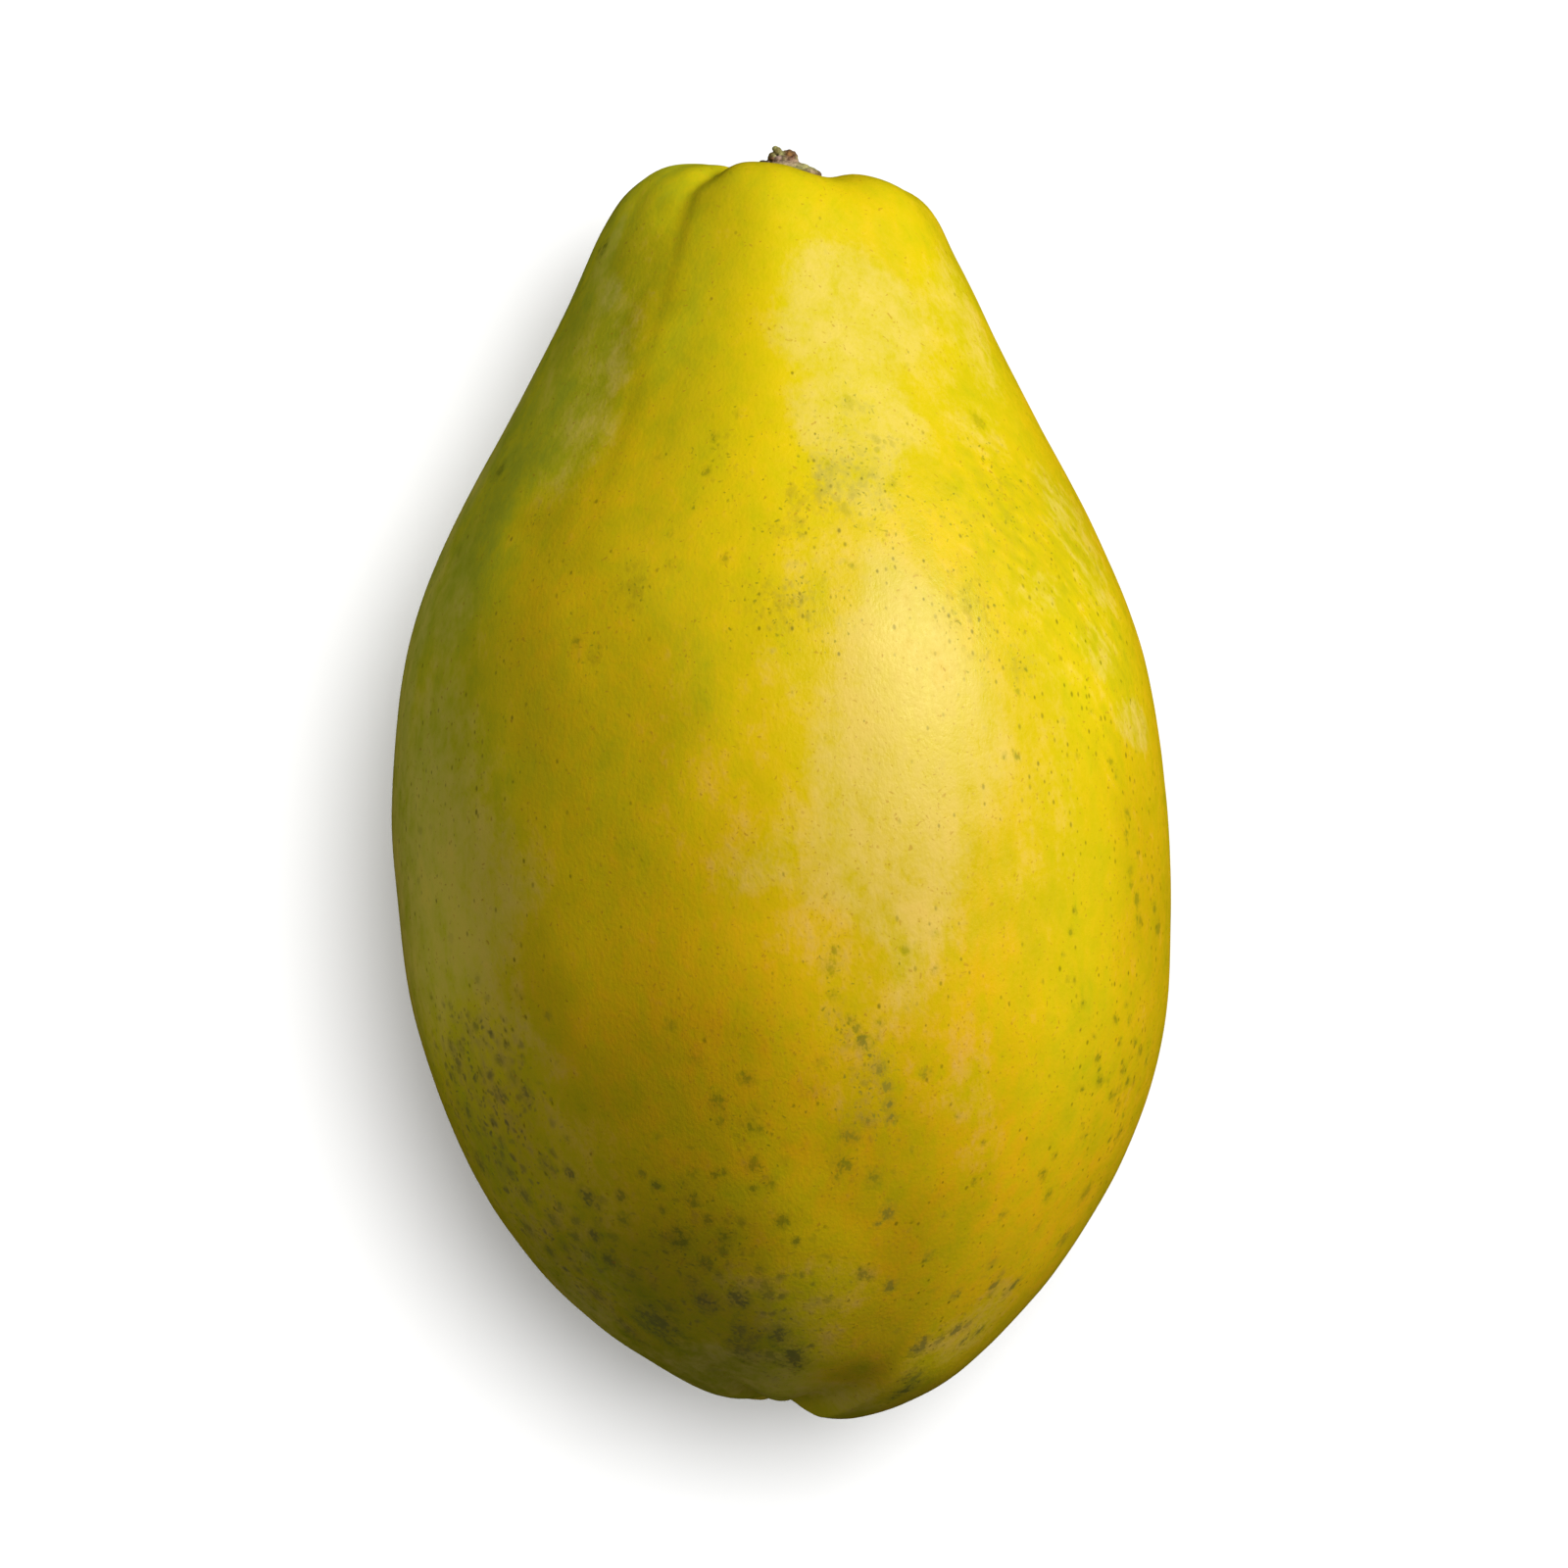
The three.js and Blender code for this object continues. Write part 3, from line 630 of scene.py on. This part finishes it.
        "spots": (0, 0, 3.5, 3), "clusters": (0, 0, 2.2, 1), "callus": (0, 0, 0.8, 0.4),
        "scar": (0, 0, 0.5), "roughness": (0, 0.2, 0.3, 0.3), "relief": (0, 0, 0.3, 0.7)},
    "dots": {  # cell in mm, smallest and largest radius in cells, softness, strength
        "blot": (1.8, 0.14, 0.36, 0.6, 1), "fleck": (0.9, 0.12, 0.34, 0.6, 0.8),
        "mote": (0.6, 0.16, 0.34, 0.6, 0.85), "freckle": (0.9, 0.1, 0.24, 0.6, 1),
        "stipple": (0.55, 0.14, 0.3, 0.5, 1)},
    "dotOnset": 0.08,  # how soon a dot is full, once the thickness is past its chance
    "freckleSqueeze": 0.65,  # freckles are longer along the fruit
    "covers": {  # strength, where it starts and is full, colour; without a colour it is that of the marks
        "wax": (0.27, (0.15, 0.8), (0.86, 0.77, 0.33, 1)), "haze": (0.35, (0.4, 1.1), None),
        "marks": (0.8, None, None), "stipple": (0.6, None, (0.50, 0.24, 0.01, 1)),
        "freckles": (0.7, None, (0.16, 0.135, 0.002, 1)),
        "callus": (0.8, (0.3, 0.8), (0.42, 0.36, 0.20, 1)),
        "scar": (0.9, (0.3, 0.7), (0.16, 0.11, 0.06, 1))},
    "greenMark": (0.17, 0.19, 0.003, 1),
    "greyMark": (0.165, 0.148, 0.065, 1),
    "roughness": 0.39,
    "markRoughness": 0.15,
    "specular": 0.3,
    "specularTint": (1.0, 0.94, 0.6, 1),
    "relief": (0.1, 0.55),  # height in mm of the fine bumps, and their strength
}


def makeDots(tree, place, kind, thickness):  # thickness 0 to 1
    cell, small, large, softness, strength = peel["dots"][kind]
    texture = makeNode(tree, "ShaderNodeTexVoronoi", Vector=place, Scale=1 / (cell * mm))
    chance, girth, depth = split(tree, texture.outputs["Color"])
    reach = Field(tree, texture.outputs["Distance"]) / (girth * (large - small) + small)
    there = (thickness - chance).smooth(0.0, peel["dotOnset"])
    dots = reach.smooth(1 - softness, 1 + softness, 1.0, 0.0) * there
    return dots * (depth * 0.5 + 0.5) * strength


def drawnAlong(tree, place, direction, share):  # squeezed along it, so that a pattern runs along it
    way = Vector(direction).normalized()
    part = Field(tree, vectorMath(tree, "DOT_PRODUCT", place, way).outputs["Value"])
    return vectorMath(tree, "ADD", place, vectorMath(tree, "SCALE", way, Scale=part * (share - 1)))


def warped(tree, place):  # the place pushed about a little
    for size, reach in peel["warps"]:
        texture = makeNode(tree, "ShaderNodeTexNoise", Vector=place, Scale=1 / (size * mm), Detail=1.0)
        push = [2 * reach * mm] * 3
        place = vectorMath(tree, "MULTIPLY_ADD", texture.outputs["Color"], push, place)
    return place


def makePeelSkin():
    material, tree, shader = newMaterial("papayaPeel")
    place = painted(tree, "fruitPlace", "Vector")
    grains = [makeNoise(tree, vectorMath(tree, "MULTIPLY", place, (1, squeeze, 1)), size * mm)
              for size, squeeze in peel["grain"].values()]

    def mottled(name):  # the grains in their shares
        parts = [grain * share for grain, share in zip(grains, peel["mottling"][name]) if share]
        return sum(parts[1:], parts[0])

    direction, squeeze, size, detail = peel["slantGrain"]
    slant = makeNoise(tree, drawnAlong(tree, place, direction, squeeze), size * mm, detail)
    slant = slant * painted(tree, "slant")
    slanting = {name: slant * share for name, share in peel["slantShares"].items()}

    uneven = painted(tree, "uneven")
    ripeness = painted(tree, "ripeness") - slanting["ripeness"] + uneven * mottled("ripeness")
    hues = makeNode(tree, "ShaderNodeValToRGB", Fac=ripeness / peel["hues"][-1][0])
    ramp = hues.color_ramp.elements
    for index, (position, colour) in enumerate(peel["hues"]):
        stop = ramp[index] if index < 2 else ramp.new(position)
        stop.position, stop.color = position / peel["hues"][-1][0], (*colour, 1)
    # lightness from the shade patches, in places painted light and painted shade, with the mottling
    shade = painted(tree, "shade") * (uneven * mottled("shade") - slanting["shade"] + 1.0)
    colour = shaded(tree, hues, shade)
    waxAndSheenGrain = (uneven.use("MINIMUM", 1.0) * 0.5 + 0.5) * mottled("wax")

    # marks: thick clouds of dots, single spots, hazes of motes
    loose = warped(tree, place)
    blots, clusters, crowd = painted(tree, "blots"), painted(tree, "clusters"), mottled("crowd") + 1.0
    marks = makeDots(tree, loose, "blot", blots * crowd)
    marks = marks.use("MAXIMUM", makeDots(tree, loose, "fleck", blots * crowd))
    marks = marks * blots.smooth(*peel["blotFade"])  # faint where they are few
    ragged = mottled("spots")
    for index in range(peel["spotLayers"]):
        way = painted(tree, f"spotWay{index}", "Vector")
        reach = Field(tree, vectorMath(tree, "LENGTH", way).outputs["Value"]) + ragged
        middle, rim = (reach.smooth(*rim, 0.0) for rim in peel["spotRims"])
        marks = marks.use("MAXIMUM", middle.use("MAXIMUM", rim) * painted(tree, f"spotDepth{index}"))
    start, full, strength = peel["clusterVeil"]
    veil = (clusters + mottled("clusters")).smooth(start, full, 0.0, strength)
    marks = marks.use("MAXIMUM", makeDots(tree, loose, "mote", clusters)).use("MAXIMUM", veil)

    slim = vectorMath(tree, "MULTIPLY", place, (1, peel["freckleSqueeze"], 1))
    covers = {
        # pale waxy skin, and painted sheen round the gloss on the top
        "wax": painted(tree, "wax") - slanting["wax"] + waxAndSheenGrain,
        "haze": blots + mottled("haze"),
        "marks": marks,
        "stipple": makeDots(tree, loose, "stipple", painted(tree, "stipple") * crowd),
        "freckles": makeDots(tree, slim, "freckle", painted(tree, "freckles") * crowd),
        "callus": painted(tree, "callus") + mottled("callus"),
        "scar": painted(tree, "scar") + mottled("scar")}
    markColour = mixColours(tree, painted(tree, "dull"), peel["greenMark"], peel["greyMark"])
    for kind, cover in covers.items():
        strength, span, own = peel["covers"][kind]
        share = cover.smooth(*span) if span else cover
        colour = mixColours(tree, share * strength, colour, own or markColour)

    roughness = mottled("roughness") + marks * peel["markRoughness"] + peel["roughness"]
    shader.inputs["Specular Tint"].default_value = peel["specularTint"]
    finishShader(tree, shader, peel, colour, roughness, mottled("relief"))
    return material


def turnAway(turn, middle):  # from -180 to 180
    return (turn - middle + 180) % 360 - 180


def turnOf(places):
    return np.degrees(np.arctan2(places[:, 2], places[:, 0]))


def paintOver(field, turn, station, patches, hardness=1.0):  # each patch pulls the value towards its own
    for middle, along, wide, tall, value in patches:
        reach = ((turnAway(turn, middle) / wide) ** 2 + ((station - along) / tall) ** 2) ** hardness
        field += (value - field) * np.exp(-halving * reach)
    return field


def spotPlace(turn, station):  # roughly where it is, in mm
    side = body["outline"][2:17]  # without the flat ends
    radius = np.interp(station, [along for _, along in side], [radius for radius, _ in side])
    return Vector((radius * math.cos(math.radians(turn)), station, radius * math.sin(math.radians(turn))))


def spotLayers():  # close spots go to different layers, so that each keeps its own outline
    layers = [[] for _ in range(peel["spotLayers"])]
    for turn, station, size, dark in peel["spots"]:
        place, size = spotPlace(turn, station), size / 10
        gaps = [min([(place - other).length / (size + near[2]) for other, near in layer], default=99)
                for layer in layers]
        free = [index for index, gap in enumerate(gaps) if gap > peel["spotGap"]]
        chosen = free[0] if free else gaps.index(max(gaps))
        layers[chosen].append((place, (turn, station, size, dark / 10)))
    return [[spot for _, spot in layer] for layer in layers]


def paintSpots(places, spots):  # the way from the nearest spot in its radii, and how dark it is
    radius, turn = np.hypot(places[:, 0], places[:, 2]), turnOf(places)
    nearest, depth = np.full(len(places), 50.0), np.zeros(len(places))
    way = np.zeros((len(places), 3))
    for middle, along, size, dark in spots:
        size = size * peel["spotSize"]
        across = np.radians(turnAway(turn, middle)) * radius / size
        up = (places[:, 1] - along) / size
        distance = np.hypot(across, up)
        nearer = distance < nearest
        nearest[nearer], depth[nearer] = distance[nearer], dark
        way[nearer, 0], way[nearer, 1] = across[nearer], up[nearer]
    way[:, 2] = 2 * np.maximum(nearest - 1, 0)  # keeps the middle between two spots clear
    return way, depth


def ruffle(places):  # shifts the places a little, so that painted patches get wavering borders
    shifted = places.copy()
    noise.seed_set(peel["ruffleSeed"])
    for size, reach in peel["ruffles"]:
        shifted += reach * np.array([noise.noise_vector(place) for place in (places / size).tolist()])
    return shifted


def paintPeel(mesh):
    places = readRows(mesh.attributes["fruitPlace"].data, "vector") / mm
    ruffled = ruffle(places)
    turn, station = turnOf(ruffled), ruffled[:, 1]
    for name in ("ripeness", "uneven", "shade", "wax", "freckles", "blots", "dull", "slant", "stipple"):
        field = np.full(len(places), float(peel["plain"].get(name, 0)))
        if name == "ripeness":
            field = np.interp(station, *zip(*peel["ripenessAlong"]))
        paintOver(field, turn, station, peel[name], peel["waxAndSheenHardness"] if name == "wax" else 1.0)
        storeValues(mesh, name, field / peel["plain"]["shade"] if name == "shade" else field)
    radius, along = np.hypot(places[:, 0], places[:, 2]), places[:, 1]
    clusters = paintOver(np.zeros(len(places)), turnOf(places), along, peel["clusters"])
    storeValues(mesh, "clusters", clusters)
    for name, (reach, sharpness, low, high) in peel["rings"].items():
        ring = np.exp(-halving * (radius / reach) ** sharpness)
        storeValues(mesh, name, ring * (along > low) * (along < high))
    for index, spots in enumerate(spotLayers()):
        way, depth = paintSpots(places, spots)
        storeValues(mesh, f"spotWay{index}", way, "FLOAT_VECTOR")
        storeValues(mesh, f"spotDepth{index}", depth)
    print("peel: painted,", len(peel["spots"]), "single marks")


stub = {
    "blobs": [  # x, y, z from the seat's middle, half sizes, tone; first the collar, then the broken stem
        (-0.12, 1.23, 0, 4.3, 0.9, 4.1, "bark"), (-0.02, 1.93, 0, 3.4, 0.95, 3.2, "skin"),
        (-0.02, 2.63, 0, 2.4, 0.95, 2.2, "pith"), (1.68, 2.38, 0.6, 1.3, 0.8, 1.5, "skin"),
        (2.68, 2.03, 0.4, 1.1, 0.75, 1.5, "skin"), (3.53, 1.68, 0.4, 0.75, 0.7, 1.1, "bark"),
        (3.28, 1.83, 1.0, 0.7, 0.55, 0.8, "bark"), (2.68, 1.83, 1.7, 0.8, 0.6, 0.7, "pink"),
        (1.98, 1.63, 2.6, 0.9, 0.6, 0.8, "bark"), (0.08, 1.73, 3.0, 1.1, 0.65, 0.8, "pink"),
        (-2.02, 1.73, 2.6, 1.1, 0.6, 0.8, "bark"), (-3.52, 1.93, 1.2, 0.8, 0.7, 1.0, "pith"),
        (-3.62, 2.03, -0.8, 0.9, 0.7, 1.0, "bark"), (-2.42, 1.73, -2.6, 1.1, 0.6, 0.8, "skin"),
        (-0.02, 1.63, -3.1, 1.1, 0.6, 0.7, "bark"), (1.98, 1.53, -2.6, 1.0, 0.6, 0.8, "pink"),
        # the dark blobs on the next two lines, left of the knob, are a painted shadow under it
        (3.18, 1.43, -1.2, 0.8, 0.6, 1.0, "bark"), (-2.77, 3.23, 0.3, 0.55, 0.36, 0.4, "dark"),
        (-2.22, 3.18, 0.2, 0.4, 0.4, 0.5, "dark"), (-0.32, 3.28, 0, 1.55, 0.85, 1.15, "pink"),
        (0.73, 3.13, 0.6, 0.8, 0.6, 0.8, "pink"), (-0.87, 3.63, 0.7, 0.5, 0.42, 0.5, "lilac"),
        (-0.27, 3.58, 0.75, 0.35, 0.35, 0.5, "moss"), (-1.67, 3.95, 0.1, 0.5, 0.6, 0.6, "olive"),
        (-1.72, 3.7, 0.66, 0.3, 0.2, 0.28, "rust"), (-1.42, 3.98, 0.6, 0.2, 0.3, 0.2, "lime"),
        (-1.32, 4.95, 0.1, 0.42, 0.4, 0.45, "lime"), (-1.02, 4.65, 0.15, 0.52, 0.5, 0.5, "olive"),
        (-0.67, 4.28, 0.2, 0.48, 0.48, 0.5, "lime"), (-0.37, 3.93, 0.2, 0.4, 0.4, 0.45, "moss"),
        (-0.14, 4.45, 0.1, 0.36, 0.34, 0.4, "bark"), (0.35, 4.59, 0.1, 0.38, 0.33, 0.42, "bark"),
        (0.84, 4.35, 0.1, 0.36, 0.36, 0.42, "bark"), (1.12, 3.89, 0.2, 0.32, 0.46, 0.46, "bark"),
        (1.18, 3.43, 0.3, 0.34, 0.45, 0.5, "skin"), (0.38, 4.09, 0.25, 0.5, 0.42, 0.4, "amber"),
        (0.5, 3.62, 0.9, 0.34, 0.24, 0.36, "rust"), (0.82, 3.8, 0.62, 0.2, 0.3, 0.3, "rust"),
        (-2.06, 3.75, 0.2, 0.2, 0.42, 0.4, "bark"), (-0.42, 4.03, -0.8, 0.7, 0.7, 0.5, "pith"),
        (-1.32, 3.83, -0.9, 0.55, 0.5, 0.5, "olive"), (0.48, 3.63, -0.9, 0.6, 0.6, 0.5, "bark"),
        (-0.32, 3.63, -1.2, 0.5, 0.4, 0.4, "amber")],
    "tones": {
        "bark": (0.13, 0.07, 0.032), "skin": (0.37, 0.35, 0.12), "pith": (0.42, 0.30, 0.18),
        # dark is the colour of the painted shadow under the knob
        "pink": (0.38, 0.23, 0.15), "dark": (0.04, 0.025, 0.015), "lilac": (0.32, 0.22, 0.19),
        "olive": (0.16, 0.125, 0.037), "moss": (0.11, 0.11, 0.02), "lime": (0.33, 0.32, 0.11),
        "rust": (0.10, 0.025, 0.006), "amber": (0.32, 0.15, 0.035)},
    "toneBorder": 11,  # how sharply one tone ends at the next
    "voxel": 0.09,
    "skinBand": (0.3, 0.1),  # width in mm of the band of voxels inside the skin, and where the skin lies
    "rounding": 2,  # how many times the joined blobs are smoothed
    "bumps": (0.08, 0.6),  # height and size in mm of the uneven bark
    "fibres": (0.03, 0.2),
    "creviceShade": 0.65,  # how dark the painted shade in the hollows is
    "creviceDepth": 0.15,  # how hollow a place is when its painted shade is darkest
    "creviceSpread": 3,  # how many times the hollows are softened
    "grain": [(0.35, 3.0, 1.5), (0.12, 2.0, 1.2)],  # size in mm, detail, strength
    "roughness": 0.75,
    "specular": 0.25,
    "relief": (0.05, 0.6),
    "mergeDistance": 0.0005,
}


def stubTree(inputs):  # blobs grown together into one skin; worked in mm, as voxels want sizes near 1
    tree, size = makeTree("papayaStub", inputs)
    ball = makeNode(tree, "GeometryNodeMeshIcoSphere", Radius=1.0, Subdivisions=4)
    vectors = {"data_type": "FLOAT_VECTOR"}
    halfSizes = makeNode(tree, "GeometryNodeInputNamedAttribute", vectors, Name="halfSizes")
    blobs = makeNode(tree, "GeometryNodeInstanceOnPoints", Points=size["Geometry"], Instance=ball,
                     Scale=halfSizes.outputs["Attribute"])
    joined = makeNode(tree, "GeometryNodeMeshBoolean", {"operation": "UNION", "solver": "MANIFOLD"},
                      Mesh=blobs)
    byVoxel = {"resolution_mode": "VOXEL_SIZE"}
    bandWidth, threshold = stub["skinBand"]
    volume = makeNode(tree, "GeometryNodeMeshToVolume", byVoxel, Mesh=joined, Voxel_Size=size["Voxel"],
                      Interior_Band_Width=bandWidth)
    skin = makeNode(tree, "GeometryNodeVolumeToMesh", byVoxel, Volume=volume, Voxel_Size=size["Voxel"],
                    Threshold=threshold)
    place = makeNode(tree, "GeometryNodeInputPosition")
    rounded = makeNode(tree, "GeometryNodeBlurAttribute", vectors, Value=place,
                       Iterations=size["Rounding"])
    shaped = makeNode(tree, "GeometryNodeSetPosition", Geometry=skin, Position=rounded)
    bump, fibre = (makeNoise(tree, place, size[f"{kind} Size"], 2.0, 0.5) * size[f"{kind} Height"]
                   for kind in ("Bump", "Fibre"))
    normal = makeNode(tree, "GeometryNodeInputNormal")
    push = vectorMath(tree, "SCALE", normal, Scale=(bump + fibre) * 2.0)
    rugged = makeNode(tree, "GeometryNodeSetPosition", Geometry=shaped, Offset=push)
    shrunk = makeNode(tree, "GeometryNodeTransform", Geometry=rugged, Scale=(mm, mm, mm))
    return endTree(tree, shrunk, size["Cork"])


def makeCork():
    material, tree, shader = newMaterial("papayaStem")
    place = makeNode(tree, "ShaderNodeTexCoord").outputs["Object"]
    grain, speck = (makeNoise(tree, place, size * mm, detail) for size, detail, _ in stub["grain"])
    shade = grain * stub["grain"][0][2] + speck * stub["grain"][1][2] + 1.0
    colour = shaded(tree, painted(tree, "tone", "Color"), shade)
    finishShader(tree, shader, stub, colour, stub["roughness"], grain + speck)
    return material


def stubSeat():  # the middle of the stub's foot, in mm
    return Vector(((stubLow.x + stubHigh.x) / 2, stubLow.y, (stubLow.z + stubHigh.z) / 2)) / mm


def neighbours(mesh):  # every edge both ways, and how many edges each vertex has
    edges = readRows(mesh.edges, "vertices", np.int32, 2)
    count = np.bincount(edges.ravel(), minlength=len(mesh.vertices))
    return (edges.T, edges.T[::-1]), np.maximum(count, 1)


def hollowness(mesh, places):  # how deep each place lies between its neighbours
    normals = readRows(mesh.vertices, "normal")
    ways, count = neighbours(mesh)
    hollow = np.zeros(len(places))
    for here, there in ways:
        step = places[there] - places[here]
        np.add.at(hollow, here, (step * normals[here]).sum(1) / np.linalg.norm(step, axis=1))
    hollow /= count
    for _ in range(stub["creviceSpread"]):
        spread = np.zeros(len(places))
        for here, there in ways:
            np.add.at(spread, here, hollow[there])
        hollow = (hollow + spread / count) / 2
    return np.clip(hollow / stub["creviceDepth"], -0.5, 1)


def paintStub(mesh):  # each place takes the tone of the blobs nearest to it, with painted shade in the hollows
    places = readRows(mesh.vertices, "co")
    colours, total = np.zeros((len(places), 3)), np.zeros(len(places))
    for *numbers, kind in stub["blobs"]:
        middle, halfSizes = np.array(numbers[:3]) + stubSeat(), np.array(numbers[3:])
        away = np.linalg.norm((places / mm - middle) / halfSizes, axis=1)
        weight = np.exp(-stub["toneBorder"] * np.abs(away - 1) * halfSizes.min() ** 0.5)
        colours += weight[:, None] * np.array(stub["tones"][kind])
        total += weight
    # painted shade: darker where the skin lies in a hollow
    colours *= ((1 - stub["creviceShade"] * hollowness(mesh, places)) / total)[:, None]
    storeValues(mesh, "tone", np.column_stack([colours, np.ones(len(places))]), "FLOAT_COLOR")
    print("stub: painted")


def makeStub(cork):
    piece = newPiece("papayaStub", [stubSeat() + Vector(blob[:3]) for blob in stub["blobs"]])
    storeValues(piece.data, "halfSizes", [blob[3:6] for blob in stub["blobs"]], "FLOAT_VECTOR")
    inputs = {
        "Voxel": stub["voxel"], "Rounding": stub["rounding"], "Bump Height": stub["bumps"][0],
        "Bump Size": stub["bumps"][1], "Fibre Height": stub["fibres"][0], "Fibre Size": stub["fibres"][1],
        "Cork": cork}
    runTree(piece, stubTree(inputs), inputs)
    closeMesh(piece.data, stub["mergeDistance"] * mm)
    print("stub:", len(piece.data.polygons), "faces")
    return piece


studio = {  # lengths in mm
    "floorSize": 4000,
    "floorColour": (0.88, 0.88, 0.88, 1),
    "floorRoughness": 0.9,
    "floorDrop": 0.05,
    "softLights": {  # from the fruit towards the light, distance, size, power, seen in the gloss
        "keyLight": ((0.66, 0.44, 0.60), 700, 380, 5.0, True),
        "fillLight": ((-0.85, 0.3, 0.42), 900, 900, 1.0, False)},
    "floorSuns": {  # towards the light, strength, angle, throws a shadow
        "floorSun1": ((0.18, 0.18, 1), 2.75, 24, True),
        "floorSun2": ((0, 0, 1), 0.85, 20, False)},
    "worldStrength": 0.13,
}


def addFloor():
    half = studio["floorSize"] * mm / 2
    corners = [(-half, -half, 0), (half, -half, 0), (half, half, 0), (-half, half, 0)]
    floor = newPiece("floor", corners, faces=[(0, 1, 2, 3)])
    material, _, shader = newMaterial("paleFloor")
    shader.inputs["Base Color"].default_value = studio["floorColour"]
    shader.inputs["Roughness"].default_value = studio["floorRoughness"]
    shader.inputs["Specular IOR Level"].default_value = 0.0
    floor.data.materials.append(material)
    floor.location.z = -studio["floorDrop"] * mm
    floor.visible_diffuse = False  # the fruit is lit by the lights alone
    floor.visible_glossy = False
    return floor


def addLight(name, kind, towards, things, **settings):  # lights only these things
    data = bpy.data.lights.new(name, kind)
    for setting, value in settings.items():
        setattr(data, setting, value)
    light = bpy.data.objects.new(name, data)
    light.rotation_mode = "QUATERNION"
    light.rotation_quaternion = Vector(towards).to_track_quat("Z", "Y")
    scene.collection.objects.link(light)
    lit = bpy.data.collections.new(name + "On")
    for thing in things:
        lit.objects.link(thing)
    light.light_linking.receiver_collection = lit
    return light


def addLights(floor, pieces):
    for name, (towards, distance, size, power, glossy) in studio["softLights"].items():
        towards = Vector(towards).normalized()
        light = addLight(name, "AREA", towards, pieces, shape="DISK", size=size * mm, energy=power)
        light.location = (cadBounds[0] + cadBounds[1]) / 2 + towards * distance * mm
        light.visible_glossy = glossy
    for name, (towards, strength, angle, shadow) in studio["floorSuns"].items():
        addLight(name, "SUN", towards, [floor], energy=strength, angle=math.radians(angle),
                 use_shadow=shadow)


def addWorld():  # white to the camera, dim to the fruit
    world = bpy.data.worlds.new("studio")
    world.use_nodes = True
    tree = world.node_tree
    fill = tree.nodes["Background"]
    fill.inputs["Color"].default_value = (1, 1, 1, 1)
    fill.inputs["Strength"].default_value = studio["worldStrength"]
    backdrop = makeNode(tree, "ShaderNodeBackground", Color=(1, 1, 1, 1), Strength=1.0)
    seen = makeNode(tree, "ShaderNodeLightPath").outputs["Is Camera Ray"]
    blend = tree.nodes.new("ShaderNodeMixShader")
    for value, socket in zip((seen, fill, backdrop), blend.inputs):
        connect(tree, value, socket)
    connect(tree, blend, tree.nodes["World Output"].inputs["Surface"])
    world.cycles_visibility.glossy = False
    scene.world = world
    scene.view_settings.view_transform = "Standard"


fruit = makeBody(makePeelSkin())
paintPeel(fruit.data)
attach(fruit, "root")
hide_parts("fruit")

stem = makeStub(makeCork())
paintStub(stem.data)
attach(stem, "root")
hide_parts("stem_stub")

addLights(addFloor(), [fruit, stem])
addWorld()
print("studio lit")
